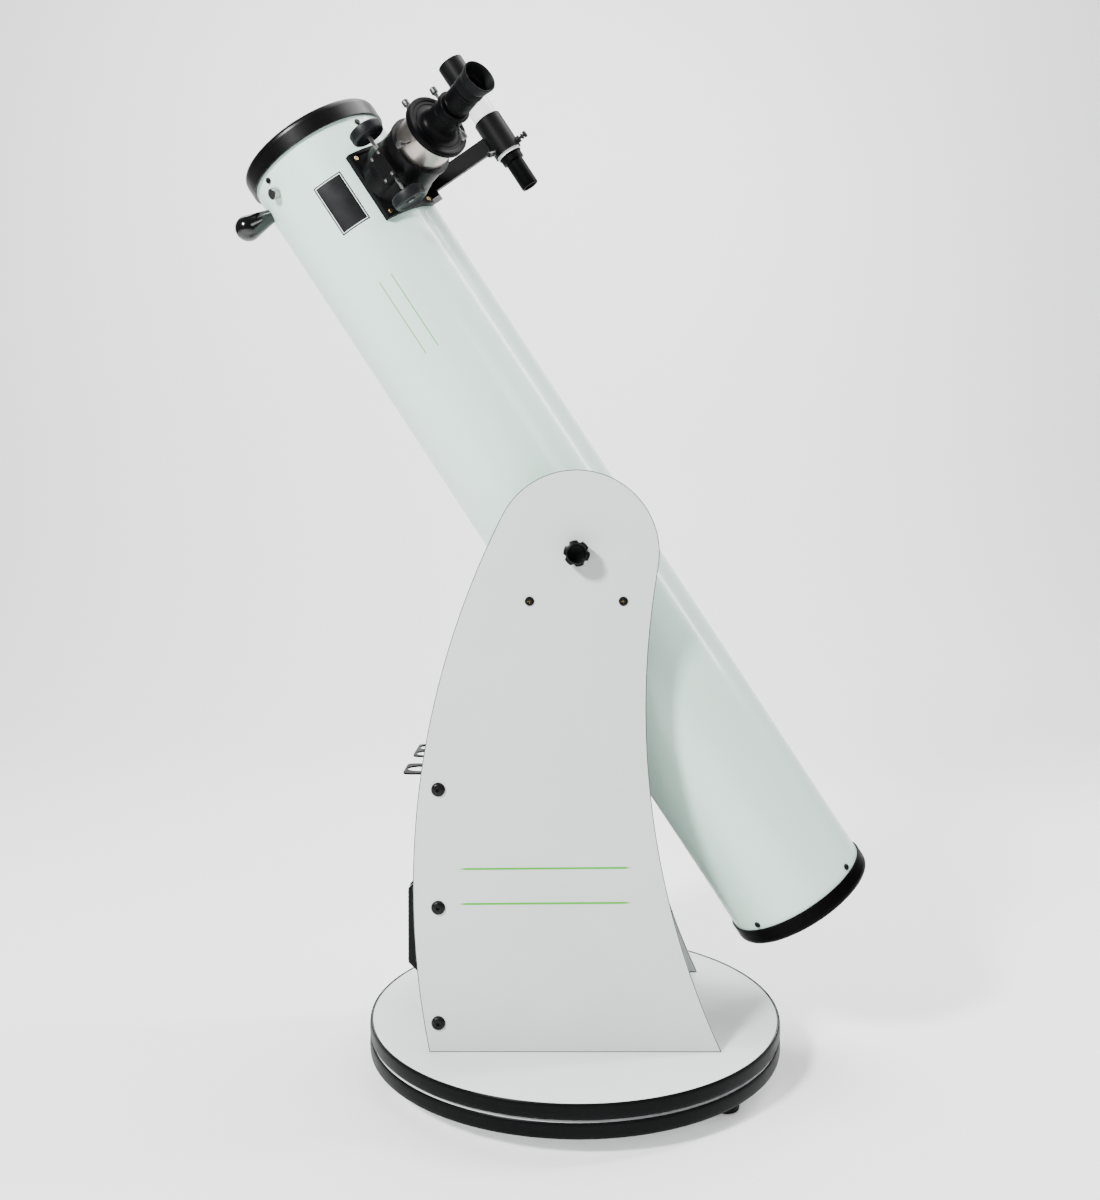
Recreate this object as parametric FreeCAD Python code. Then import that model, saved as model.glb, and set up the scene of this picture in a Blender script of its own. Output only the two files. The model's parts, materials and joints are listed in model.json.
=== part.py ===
import FreeCAD, Part
import math
import os

os.makedirs("parts", exist_ok=True)
V = FreeCAD.Vector

# Newtonian reflector on a two-board turntable mount, in millimetres.
# Origin: on the floor, on the azimuth axis. +Z up, the tube's front end leans towards -X,
# the altitude axis lies along Y.

# --- main sizes ---
TUBE_RADIUS = 91.0
BOARD = 16.0                # thickness of every board

# --- turntable ---
DISC_RADIUS = 255.5         # both round boards
BAND_THICK = 2.5            # edge banding round a disc
BAND_LIP = 0.8              # banding stands proud of both faces
FOOT_HEIGHT = 22.8
FOOT_RADIUS = 16.0
FOOT_ROUND = 4.0
FOOT_RING_RADIUS = DISC_RADIUS - 30.5  # the feet stand on this circle
FOOT_COUNT = 3
FOOT_FIRST = -40.0          # degrees
FOOT_RECESS = 8.0           # depth left above the screw head's recess
PAD_THICK = 4.3             # nylon glide pads between the discs
PAD_RADIUS = 20.0
PAD_RING_RADIUS = DISC_RADIUS - 70.5
PIVOT_RADIUS = 5.0
PIVOT_SLEEVE = 8.0
PIVOT_HEAD = 9.5            # half the bolt head and nut across corners
PIVOT_HEAD_HIGH = 6.4
PIVOT_WASHER = 14.0
WASHER_THICK = 1.6

# --- upright boards ---
BOARD_CLEAR = 24.0          # between the tube and a side board
INNER_WIDTH = 2 * (TUBE_RADIUS + BOARD_CLEAR)  # between the side boards
AXIS_ABOVE_DECK = 582.8     # altitude axis over the upper disc
HEAD_RADIUS = TUBE_RADIUS + 6.0  # round top of a side board
TOE_X = -171.4              # side board's corner at the deck, front
HEEL_X = 169.5              # side board's corner at the deck, back
FRONT_ARC = 962.0           # convex front edge
BACK_ARC = 960.0            # concave back edge
FRONT_BOARD_X = -161.0      # middle of the front board's thickness
FRONT_BOARD_HIGH = 342.0
BOLT_HEIGHTS = (34.0, 169.0, 307.0)
BOLT_RADIUS = 3.0
BOLT_LENGTH = 50.0
BOLT_HEAD = 7.5
BOLT_HEAD_HIGH = 4.2
BOLT_SOCKET = 2.0
SCREW_RADIUS = 2.2
SCREW_HEAD = 5.5
SCREW_HEAD_HIGH = 2.4
BASE_SCREW_XS = (-120.0, 0.0, 120.0)
BASE_SCREW_LENGTH = 40.0

# --- altitude bearings ---
BEARING_RADIUS = 62.0
POST_RADIUS = 16.0
POST_ANGLE = 44.2           # degrees each side of straight down
POST_CLEAR = 1.5            # between a post's end and the tube
POST_SCREW_DEPTH = 14.0     # screw into the post
BEARING_SCREWS = ((0.0, 40.0), (22.0, -28.0), (-22.0, -28.0))  # angle and station
BEARING_SCREW_DEPTH = 10.0
STUD_RADIUS = 4.0           # tension knob's stud
STUD_DEPTH = 20.0
KNOB_LOBES = 6
KNOB_RADIUS = 15.5
KNOB_NOTCH = 4.0
KNOB_THICK = 14.0
KNOB_STAND = 8.0
KNOB_NECK = 8.0
KNOB_CAP = 10.0
KNOB_CAP_HIGH = 4.0

# --- carry handle and eyepiece rack on the front board ---
HANDLE_LOW = 48.0
HANDLE_HIGH = 167.0
HANDLE_WIDE = 29.0
HANDLE_DEEP = 42.0
HANDLE_GRIP = 14.0
HANDLE_FOOT = 18.0
HANDLE_SLOPE = 13.0
HANDLE_RIB_PITCH = 6.0
HANDLE_RIB = 1.2
RACK_HEIGHT = 317.0
RACK_THICK = 2.0
RACK_DEEP = 39.0
RACK_FLANGE = 22.0
RACK_NEAR = (-88.0, -31.0)  # y range of the lobe with one hole
RACK_FAR = (15.0, 95.0)     # y range of the lobe with two holes
RACK_WEB = 10.0             # depth of the shelf between its lobes
RACK_HOLE = 16.0            # radius, takes a 1.25 inch eyepiece
RACK_CORNER = 8.0

# --- optical tube, stations measured up the tube from the altitude axis ---
TUBE_WALL = 1.0
TUBE_REAR = -528.0
TUBE_FRONT = 611.0
ALTITUDE = 56.7             # degrees above level, as it stands
RING_SKIRT = 3.3            # thickness of a ring's skirt inside the tube
FRONT_RING_RADIUS = TUBE_RADIUS + 3.5
FRONT_RING_START = TUBE_FRONT - 21.0
FRONT_RING_END = TUBE_FRONT + 3.0
FRONT_RING_MOUTH = TUBE_RADIUS - 9.0
FRONT_SKIRT_START = TUBE_FRONT - 39.0
FRONT_SCREWS = TUBE_FRONT - 30.0
REAR_RING_RADIUS = TUBE_RADIUS + 2.5
REAR_RING_START = TUBE_REAR + 18.0
REAR_RING_END = TUBE_REAR - 3.0
REAR_RING_MOUTH = TUBE_RADIUS - 11.0
REAR_SKIRT_START = TUBE_REAR + 32.0
REAR_SCREWS = TUBE_REAR + 24.5
RING_LIP = 4.0               # thickness of the lip round the opening
RING_ROUND = 7.0            # length of an end ring's rounded shoulder
TUBE_SCREW = 2.0
TUBE_SCREW_HEAD = 3.8
TUBE_SCREW_HEAD_HIGH = 2.2
QUARTER_ANGLES = (45.0, 135.0, 225.0, 315.0)

# --- primary mirror and its cell ---
MIRROR_RADIUS = TUBE_RADIUS - 14.0
MIRROR_THICK = 22.0
MIRROR_BACK = TUBE_REAR + 47.0
MIRROR_BEVEL = 1.0
FOCAL_LENGTH = 1200.0
CELL_RADIUS = MIRROR_RADIUS + 5.0
CELL_THICK = 6.0
FRAME_RADIUS = TUBE_RADIUS - TUBE_WALL - RING_SKIRT - 0.4
FRAME_THICK = 6.0
WINDOW_HUB = 20.0           # radius of the solid middle of the cell and its frame
CELL_WINDOW = MIRROR_RADIUS - 27.0
FRAME_WINDOW = FRAME_RADIUS - 16.3
WINDOW_SPAN = 70.0          # degrees open in each of the three windows
THIRD_FIRST = 30.0          # angle of the first window and clip
SPRING_SPACE = 20.0
SPRING_RADIUS = 6.0
SPRING_WIRE = 0.8
SPRING_TURNS = 4
SPRING_STEPS = 16           # straight steps in one turn of the wire
COLLIMATION_RADIUS = MIRROR_RADIUS - 15.0  # the three adjusters stand on this circle
COLLIMATION_STUD = 2.5
COLLIMATION_KNOB = 9.0
COLLIMATION_KNOB_HIGH = 12.0
CLIP_WIDE = 12.0
CLIP_THICK = 2.0
CLIP_REACH = 5.0

# --- spider and secondary mirror ---
SPIDER_STATION = TUBE_FRONT - 48.0
VANE_THICK = 0.8
VANE_DEEP = 18.0
HUB_RADIUS = 13.0
HUB_HIGH = 22.0
SPIDER_NUT_RADIUS = 7.0
SPIDER_NUT_HIGH = 8.5
SPIDER_STUD = 2.5
SECONDARY_RADIUS = 21.0
SECONDARY_THICK = 7.0
HOLDER_RADIUS = 19.0
HOLDER_GAP = 5.0
HOLDER_SCREW_HEAD = 5.0
HOLDER_SCREW_HEAD_HIGH = 3.0
HOLDER_SCREW_DEPTH = 12.0

# --- focuser: heights are measured outward from the tube's axis ---
FOCUSER_STATION = TUBE_FRONT - 111.0
FOCUSER_ANGLE = 45.0
SADDLE_LONG = 89.0
SADDLE_SCREW_LONG = 12.0
SADDLE_WIDE = 83.0
SADDLE_THICK = 4.5
SADDLE_RIM = 1.8
SADDLE_RIM_WIDE = 4.0
SADDLE_SCREW_X = 37.5
SADDLE_SCREW_Y = 34.0
BODY_FOOT_RADIUS = 42.0
BODY_WAIST_RADIUS = 37.6
BODY_FOOT_TOP = TUBE_RADIUS + 12.0
BODY_WAIST = TUBE_RADIUS + 33.0
BODY_TOP = TUBE_RADIUS + 64.6
DRAW_RADIUS = 33.0
DRAW_WALL = 2.5
DRAW_BOTTOM = TUBE_RADIUS - 13.0
DRAW_TOP = TUBE_RADIUS + 96.0
DRAW_COLLAR = 22.0
SEAT_2_INCH = 25.4
MODULE = 0.8
PINION_TEETH = 12
PRESSURE = math.radians(20.0)
RACK_ADDENDUM = 0.55
PINION_ADDENDUM = 0.7
TOOTH_GAP = 0.2
BACKLASH = 0.16
GEAR_WIDE = 8.0
DRAW_RACK_START = TUBE_RADIUS - 7.0
DRAW_RACK_TEETH = 26
SHAFT_HEIGHT = TUBE_RADIUS + 39.0
SHAFT_RADIUS = 2.5
SHAFT_LONG = 101.0
BLOCK_LONG = 37.0
BLOCK_HIGH = 23.0
BLOCK_OUT = 45.4
COVER_THICK = 2.6
COVER_SCREW_X = 14.5
COVER_SCREW_Z = 7.3
COVER_SCREW_HEAD = 2.1
FOCUS_KNOB_RADIUS = 20.5
FOCUS_KNOB_THICK = 13.5
FOCUS_KNOB_RIBS = 24
FOCUS_KNOB_RIB = 0.7

# --- adapter and eyepiece ---
FLANGE_RADIUS = 39.3
FLANGE_THICK = 8.0
STEM_RADIUS = 18.8
STEM_RING = 20.0
STEM_RING_HIGH = 5.0
STEM_TOP = DRAW_TOP + 44.0
SEAT_1_INCH = 15.875
EYEPIECE_NOSE = 29.0
NOSE_WALL = 1.5
EYEPIECE_RADIUS = 16.6
EYEPIECE_NECK = 15.4
EYEPIECE_TOP = STEM_TOP + 35.0
EYECUP_RADIUS = 20.2
EYECUP_WALL = 1.6
EYECUP_TOP = EYEPIECE_TOP + 17.0
EYE_LENS = 9.0
LENS_THICK = 4.0
THUMB_HEAD = 3.7
THUMB_HEAD_LONG = 8.0
THUMB_RADIUS = 1.9
DRAW_THUMB_HEIGHT = DRAW_TOP - 15.0
DRAW_THUMB_HEAD = 42.0
STEM_THUMB_HEIGHT = STEM_TOP - 14.0
STEM_THUMB_HEAD = 25.0

# --- finder ---
FINDER_ANGLE = 5.0
FINDER_HEIGHT = TUBE_RADIUS + 113.5
FINDER_RADIUS = 15.6
FINDER_WALL = 1.2
FINDER_FRONT = FOCUSER_STATION + 50.0
FINDER_REAR = FOCUSER_STATION - 42.0
HOOD_RADIUS = 16.8
HOOD_FRONT = FINDER_FRONT + 45.5
HOOD_OVERLAP = 10.0
OBJECTIVE_SET = 30.0
SLEEVE_RADIUS = 18.0
SLEEVE_FRONT = FOCUSER_STATION + 11.5
SLEEVE_REAR = SLEEVE_FRONT - 50.0
SLEEVE_WALL = 1.6
FINDER_NECK = 14.0
FINDER_NECK_LONG = 9.0
FINDER_EYE_RADIUS = 11.2
FINDER_EYE_REAR = FINDER_REAR - 46.5
STALK_FRONT = SLEEVE_FRONT - 18.0
STALK_REAR = STALK_FRONT - 20.5
STALK_THICK = 8.0
SHOE_LONG = 38.0
SHOE_WIDE = 26.0
SHOE_HIGH = 13.0
SHOE_FLOOR = 4.0
DOVETAIL_TOP = 12.0
DOVETAIL_BOTTOM = 17.0
ADJUSTER_ANGLES = (15.0, 255.0)
PLUNGER_ANGLE = 135.0
PLUNGER_RADIUS = 3.8
PLUNGER_LONG = 10.0
PLUNGER_PAD = 4.0           # how far the bosses stand off the sleeve
ADJUSTER_PAD = 8.0          # and the adjusters' heads
BOSS_RADIUS = 4.4
ADJUSTER_STEM = 1.7
ADJUSTER_HEAD = 4.2
ADJUSTER_STATION = SLEEVE_REAR + 5.5

# --- handle on the tube ---
GRIP_STATION = TUBE_FRONT - 54.0
GRIP_ANGLE = 165.0
GRIP_NECK = 8.0
GRIP_BALL = 16.0
GRIP_REACH = 33.0
GRIP_STUD = 3.0

# --- clearances ---
GAP = 0.3                   # between pieces that move past each other
FIT = 0.1                   # screws in their holes, fixed seats
BEYOND = 20.0               # a cutting tool runs this far past the work
RUN = 0.05                  # running fits
SEAT = 0.15                 # pieces that lie on the round tube

# --- values that follow ---
GROUND_TOP = FOOT_HEIGHT + BOARD
ROCKER_BOTTOM = GROUND_TOP + PAD_THICK + GAP
DECK = ROCKER_BOTTOM + BOARD
AXIS_HEIGHT = DECK + AXIS_ABOVE_DECK
INNER_FACE = INNER_WIDTH / 2
OUTER_FACE = INNER_FACE + BOARD
FRONT_FACE = FRONT_BOARD_X - BOARD / 2
POST_DISTANCE = BEARING_RADIUS + POST_RADIUS + GAP
POST_X = POST_DISTANCE * math.sin(math.radians(POST_ANGLE))
POST_Z = AXIS_HEIGHT - POST_DISTANCE * math.cos(math.radians(POST_ANGLE))
TUBE_BORE = TUBE_RADIUS - TUBE_WALL
TUBE_SKIN = TUBE_RADIUS + SEAT
CELL_BACK = MIRROR_BACK - CELL_THICK - FIT
FRAME_FACE = CELL_BACK - SPRING_SPACE
PITCH_RADIUS = MODULE * PINION_TEETH / 2
TOOTH_PITCH = MODULE * math.pi
SHAFT_OUT = DRAW_RADIUS + RACK_ADDENDUM + TOOTH_GAP + PITCH_RADIUS
SHOE_TOP = TUBE_RADIUS + SHOE_HIGH
TILT = FreeCAD.Placement(V(0, 0, AXIS_HEIGHT), FreeCAD.Rotation(V(0, 1, 0), ALTITUDE - 90))


def save(node, *solids):
    shape = solids[0] if len(solids) == 1 else Part.makeCompound(list(solids))
    shape.exportStep("parts/" + node + ".step")


def save_on_tube(node, *solids):
    """Tube pieces are drawn with the tube upright, then tilted about the altitude axis."""
    save(node, *[moved(solid, TILT) for solid in solids])


def moved(shape, placement):
    copy = shape.copy()
    copy.Placement = placement.multiply(copy.Placement)
    return copy


def box(x, y, z):
    """A box from three (low, high) ranges."""
    corner = V(x[0], y[0], z[0])
    return Part.makeBox(x[1] - x[0], y[1] - y[0], z[1] - z[0], corner)


def rod(radius, start, end):
    """A round bar between two points."""
    start, end = V(*start), V(*end)
    return Part.makeCylinder(radius, (end - start).Length, start, end - start)


def turned(profile):
    """Turn a closed (radius, height) profile about Z."""
    wire = Part.makePolygon([V(r, 0, z) for r, z in profile + profile[:1]])
    return Part.Face(wire).revolve(V(0, 0, 0), V(0, 0, 1), 360)


def aimed(shape, start, direction):
    """Move a piece drawn along +Z so that it starts at a point and runs along a direction."""
    turn = FreeCAD.Rotation(V(0, 0, 1), V(*direction))
    return moved(shape, FreeCAD.Placement(V(*start), turn))


def polar(radius, degrees):
    angle = math.radians(degrees)
    return radius * math.cos(angle), radius * math.sin(angle)


def around(count, first=0.0):
    return [first + 360.0 * i / count for i in range(count)]


def rounded(shape, radius, pick):
    return shape.makeFillet(radius, [edge for edge in shape.Edges if pick(edge)])


def rim_at(height):
    """Picks the full-circle edges that lie at one height."""
    def pick(edge):
        box_ = edge.BoundBox
        flat = box_.ZLength < 1e-6 and abs(box_.ZMin - height) < 1e-6
        return flat and isinstance(edge.Curve, Part.Circle)
    return pick


def on_tube(shape, station, angle):
    """Put a piece on the tube: its X runs up the tube, its Z points out at the angle."""
    turn = math.radians(angle)
    s, c = math.sin(turn), math.cos(turn)
    matrix = FreeCAD.Matrix(0, -s, c, 0, 0, -c, -s, 0, 1, 0, 0, station, 0, 0, 0, 1)
    return moved(shape, FreeCAD.Placement(matrix))


def screw(head, head_high, shank, length):
    """A screw with a domed head on z = 0 and its shank below, with a cross recess."""
    dome = turned([(0, 0), (head, 0), (head, head_high * 0.45), (head * 0.7, head_high), (0, head_high)])
    body = dome.fuse(rod(shank, (0, 0, -length), (0, 0, 0)))
    arm, deep = head * 0.55, head_high * 0.5
    slot = box((-arm, arm), (-head * 0.1, head * 0.1), (head_high - deep, head_high + 1))
    other = box((-head * 0.1, head * 0.1), (-arm, arm), (head_high - deep, head_high + 1))
    return body.cut(slot.fuse(other)).removeSplitter()


def hexagon(across_corners, z_low, z_high):
    points = [V(*polar(across_corners, a), z_low) for a in around(6)]
    face = Part.Face(Part.makePolygon(points + points[:1]))
    return face.extrude(V(0, 0, z_high - z_low))


# ------------------------------------------------------------------ turntable

def edge_band(low):
    """Rounded banding round one disc whose underside is at this height."""
    inner, outer = DISC_RADIUS, DISC_RADIUS + BAND_THICK
    bottom, top = low - BAND_LIP, low + BOARD + BAND_LIP
    ring = rod(outer, (0, 0, bottom), (0, 0, top)).cut(rod(inner, (0, 0, bottom - 1), (0, 0, top + 1)))
    return rounded(ring, BAND_THICK * 0.8, lambda e: e.Length > 2 * math.pi * (inner + 1) - 1 and
                   abs(e.BoundBox.XMax - outer) < 0.01 and e.BoundBox.ZLength < 0.01)


def foot_spots():
    return [polar(FOOT_RING_RADIUS, a) for a in around(FOOT_COUNT, FOOT_FIRST)]


def make_ground():
    board = rod(DISC_RADIUS, (0, 0, FOOT_HEIGHT), (0, 0, GROUND_TOP))
    board = board.cut(rod(PIVOT_RADIUS + FIT, (0, 0, FOOT_HEIGHT - 1), (0, 0, GROUND_TOP + 1)))
    feet, screws = [], []
    for x, y in foot_spots():
        foot = rod(FOOT_RADIUS, (x, y, 0), (x, y, FOOT_HEIGHT))
        foot = rounded(foot, FOOT_ROUND, rim_at(0))
        head_at = FOOT_HEIGHT - FOOT_RECESS
        foot = foot.cut(rod(SCREW_HEAD + 1, (x, y, -1), (x, y, head_at)))
        foot = foot.cut(rod(SCREW_RADIUS + FIT, (x, y, 0), (x, y, FOOT_HEIGHT + 1)))
        feet.append(foot)
        length = FOOT_RECESS + BOARD * 0.75
        piece = screw(SCREW_HEAD, SCREW_HEAD_HIGH, SCREW_RADIUS, length)
        screws.append(aimed(piece, (x, y, head_at), (0, 0, -1)))
        board = board.cut(rod(SCREW_RADIUS + FIT, (x, y, 0), (x, y, FOOT_HEIGHT + BOARD * 0.75 + 1)))
    save("ground_board", board)
    save("ground_edge_band", edge_band(FOOT_HEIGHT))
    save("feet", *feet)
    save("foot_screws", *screws)


def make_azimuth_bearing():
    pads = []
    for angle in around(FOOT_COUNT, FOOT_FIRST):
        x, y = polar(PAD_RING_RADIUS, angle)
        pads.append(rod(PAD_RADIUS, (x, y, GROUND_TOP), (x, y, GROUND_TOP + PAD_THICK)))
    save("azimuth_pads", *pads)
    head = hexagon(PIVOT_HEAD, FOOT_HEIGHT - PIVOT_HEAD_HIGH, FOOT_HEIGHT)
    washer_low = DECK + GAP
    nut_low = washer_low + WASHER_THICK
    nut_high = nut_low + PIVOT_HEAD_HIGH
    bolt = head.fuse(rod(PIVOT_RADIUS, (0, 0, FOOT_HEIGHT - 1), (0, 0, nut_high + 4)))
    sleeve = rod(PIVOT_SLEEVE, (0, 0, GROUND_TOP), (0, 0, washer_low))
    washer = rod(PIVOT_WASHER, (0, 0, washer_low), (0, 0, nut_low))
    nut = hexagon(PIVOT_HEAD, nut_low, nut_high)
    hole = rod(PIVOT_RADIUS + RUN, (0, 0, 0), (0, 0, AXIS_HEIGHT))
    save("azimuth_pivot", bolt, *[piece.cut(hole) for piece in (sleeve, washer, nut)])


# -------------------------------------------------------------- upright boards

def crossing(centre_a, radius_a, centre_b, radius_b):
    """The point at larger x where two circles in the XZ plane cross."""
    ax, az = centre_a
    bx, bz = centre_b
    apart = math.hypot(bx - ax, bz - az)
    along = (radius_a ** 2 - radius_b ** 2 + apart ** 2) / (2 * apart)
    aside = math.sqrt(radius_a ** 2 - along ** 2)
    ux, uz = (bx - ax) / apart, (bz - az) / apart
    spots = [(ax + along * ux - k * aside * uz, az + along * uz + k * aside * ux) for k in (-1, 1)]
    return max(spots)


def side_outline():
    """Round head, convex front edge and concave back edge, joined as tangent arcs."""
    head = (0.0, AXIS_HEIGHT)
    toe, heel = (TOE_X, DECK), (HEEL_X, DECK)
    front = crossing(head, FRONT_ARC - HEAD_RADIUS, toe, FRONT_ARC)
    back = crossing(head, BACK_ARC + HEAD_RADIUS, heel, BACK_ARC)

    def toward(start, end, length):
        span = math.hypot(end[0] - start[0], end[1] - start[1])
        return tuple(s + (e - s) * length / span for s, e in zip(start, end))

    join_front = toward(front, head, FRONT_ARC)
    join_back = toward(head, back, HEAD_RADIUS)
    mid_front = toward(front, ((toe[0] + join_front[0]) / 2, (toe[1] + join_front[1]) / 2), FRONT_ARC)
    mid_back = toward(back, ((heel[0] + join_back[0]) / 2, (heel[1] + join_back[1]) / 2), BACK_ARC)
    crown = (0.0, AXIS_HEIGHT + HEAD_RADIUS)
    edges = [
        Part.Arc(*[V(x, 0, z) for x, z in (toe, mid_front, join_front)]).toShape(),
        Part.Arc(*[V(x, 0, z) for x, z in (join_front, crown, join_back)]).toShape(),
        Part.Arc(*[V(x, 0, z) for x, z in (join_back, mid_back, heel)]).toShape(),
        Part.LineSegment(V(heel[0], 0, heel[1]), V(toe[0], 0, toe[1])).toShape(),
    ]
    return Part.Face(Part.Wire(edges))


def side_holes(side):
    """Everything drilled through or into one side board."""
    inner, outer = side * (INNER_FACE - 1), side * (OUTER_FACE + 1)
    holes = [rod(STUD_RADIUS + 1, (0, inner, AXIS_HEIGHT), (0, outer, AXIS_HEIGHT))]
    for x in (-POST_X, POST_X):
        holes.append(rod(SCREW_RADIUS + FIT, (x, inner, POST_Z), (x, outer, POST_Z)))
    for z in BOLT_HEIGHTS:
        spot = (FRONT_BOARD_X, inner, DECK + z), (FRONT_BOARD_X, outer, DECK + z)
        holes.append(rod(BOLT_RADIUS + FIT, *spot))
    middle = side * (INNER_FACE + BOARD / 2)
    for x in BASE_SCREW_XS:
        holes.append(rod(SCREW_RADIUS + FIT, (x, middle, DECK - 1), (x, middle, DECK + BASE_SCREW_LENGTH)))
    return holes


def make_side_boards():
    blank = side_outline().extrude(V(0, BOARD, 0))
    for name, side in (("left", -1), ("right", 1)):
        low = -OUTER_FACE if side < 0 else INNER_FACE
        board = moved(blank, FreeCAD.Placement(V(0, low, 0), FreeCAD.Rotation()))
        save("side_board_" + name, board.cut(side_holes(side)))


def bolt_spots():
    return [(side, DECK + z) for side in (-1, 1) for z in BOLT_HEIGHTS]


def make_front_board():
    thick = (FRONT_BOARD_X - BOARD / 2, FRONT_BOARD_X + BOARD / 2)
    board = box(thick, (-INNER_FACE, INNER_FACE), (DECK, DECK + FRONT_BOARD_HIGH))
    depth = BOLT_LENGTH - BOARD + 2
    holes, bolts = [], []
    for side, z in bolt_spots():
        ends = (FRONT_BOARD_X, side * (INNER_FACE + 1), z), (FRONT_BOARD_X, side * (INNER_FACE - depth), z)
        holes.append(rod(BOLT_RADIUS + FIT, *ends))
        bolts.append(aimed(board_bolt(), (FRONT_BOARD_X, side * OUTER_FACE, z), (0, side, 0)))
    for y, z in handle_screw_spots() + rack_screw_spots():
        holes.append(rod(SCREW_RADIUS + FIT, (FRONT_FACE - 1, y, z), (FRONT_FACE + BOARD * 0.8, y, z)))
    save("front_board", board.cut(holes))
    save("front_board_bolts", *bolts)


def board_bolt():
    """Black button-head bolt with a hexagon socket."""
    dome = rod(BOLT_HEAD, (0, 0, 0), (0, 0, BOLT_HEAD_HIGH))
    dome = rounded(dome, BOLT_HEAD_HIGH * 0.85, rim_at(BOLT_HEAD_HIGH))
    bolt = dome.fuse(rod(BOLT_RADIUS, (0, 0, -BOLT_LENGTH), (0, 0, 0)))
    return bolt.cut(hexagon(BOLT_SOCKET, BOLT_HEAD_HIGH * 0.4, BOLT_HEAD_HIGH + 1))


def make_rocker_board():
    board = rod(DISC_RADIUS, (0, 0, ROCKER_BOTTOM), (0, 0, DECK))
    board = board.cut(rod(PIVOT_SLEEVE + RUN, (0, 0, ROCKER_BOTTOM - 1), (0, 0, DECK + 1)))
    for x, y in base_screw_spots():
        board = board.cut(rod(SCREW_RADIUS + FIT, (x, y, ROCKER_BOTTOM), (x, y, DECK + 1)))
        sunk = ROCKER_BOTTOM + SCREW_HEAD_HIGH + FIT
        board = board.cut(rod(SCREW_HEAD + FIT, (x, y, ROCKER_BOTTOM - 1), (x, y, sunk)))
    save("rocker_board", board)
    save("rocker_edge_band", edge_band(ROCKER_BOTTOM))


def base_screw_spots():
    middle = INNER_FACE + BOARD / 2
    return [(x, side * middle) for side in (-1, 1) for x in BASE_SCREW_XS]


def handle_screw_spots():
    middle = HANDLE_FOOT / 2
    return [(0.0, DECK + HANDLE_LOW + middle), (0.0, DECK + HANDLE_HIGH - middle)]


def rack_screw_spots():
    z = DECK + RACK_HEIGHT - RACK_FLANGE / 2
    return [(sum(lobe) / 2, z) for lobe in (RACK_NEAR, RACK_FAR)]


def make_board_screws():
    """Screws of the altitude posts, the uprights, the handle and the rack."""
    screws = []
    post = screw(SCREW_HEAD, SCREW_HEAD_HIGH, SCREW_RADIUS, BOARD + POST_SCREW_DEPTH)
    for side in (-1, 1):
        for x in (-POST_X, POST_X):
            screws.append(aimed(post, (x, side * OUTER_FACE, POST_Z), (0, side, 0)))
    base = screw(SCREW_HEAD, SCREW_HEAD_HIGH, SCREW_RADIUS, BASE_SCREW_LENGTH)
    for x, y in base_screw_spots():
        screws.append(aimed(base, (x, y, ROCKER_BOTTOM + SCREW_HEAD_HIGH + FIT), (0, 0, -1)))
    short = BOARD * 0.7
    for spots, thick in ((handle_screw_spots(), HANDLE_GRIP / 2), (rack_screw_spots(), RACK_THICK)):
        piece = screw(SCREW_HEAD, SCREW_HEAD_HIGH, SCREW_RADIUS, short + thick)
        screws += [aimed(piece, (FRONT_FACE - thick, y, z), (-1, 0, 0)) for y, z in spots]
    save("board_screws", *screws)


def make_carry_handle():
    """A D-shaped handle with ribs across the outside of its grip."""
    out = FRONT_FACE - HANDLE_DEEP
    low, high = DECK + HANDLE_LOW, DECK + HANDLE_HIGH
    outline = [(FRONT_FACE, low), (out + HANDLE_SLOPE, low), (out, low + HANDLE_SLOPE),
               (out, high - HANDLE_SLOPE), (out + HANDLE_SLOPE, high), (FRONT_FACE, high)]
    points = [V(x, -HANDLE_WIDE / 2, z) for x, z in outline]
    bar = Part.Face(Part.makePolygon(points + points[:1])).extrude(V(0, HANDLE_WIDE, 0))
    bar = rounded(bar, HANDLE_GRIP / 4, lambda e: e.BoundBox.XMax < FRONT_FACE - 1)
    wide = (-HANDLE_WIDE, HANDLE_WIDE)
    fingers = (out + HANDLE_GRIP, FRONT_FACE + 1)
    bar = bar.cut(box(fingers, wide, (low + HANDLE_FOOT, high - HANDLE_FOOT)))
    ribs = int((HANDLE_HIGH - HANDLE_LOW - 2 * HANDLE_SLOPE) / HANDLE_RIB_PITCH)
    first = (low + high) / 2 - ribs * HANDLE_RIB_PITCH / 2
    for i in range(ribs + 1):
        z = first + i * HANDLE_RIB_PITCH
        bar = bar.cut(box((out - 1, out + HANDLE_RIB), wide, (z - HANDLE_RIB, z + HANDLE_RIB)))
    for y, z in handle_screw_spots():
        face = FRONT_FACE - HANDLE_GRIP / 2
        bar = bar.cut(rod(SCREW_HEAD + 1, (out - 1, y, z), (face, y, z)))
        bar = bar.cut(rod(SCREW_RADIUS + FIT, (out, y, z), (FRONT_FACE + 1, y, z)))
    save("carry_handle", bar)


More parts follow.
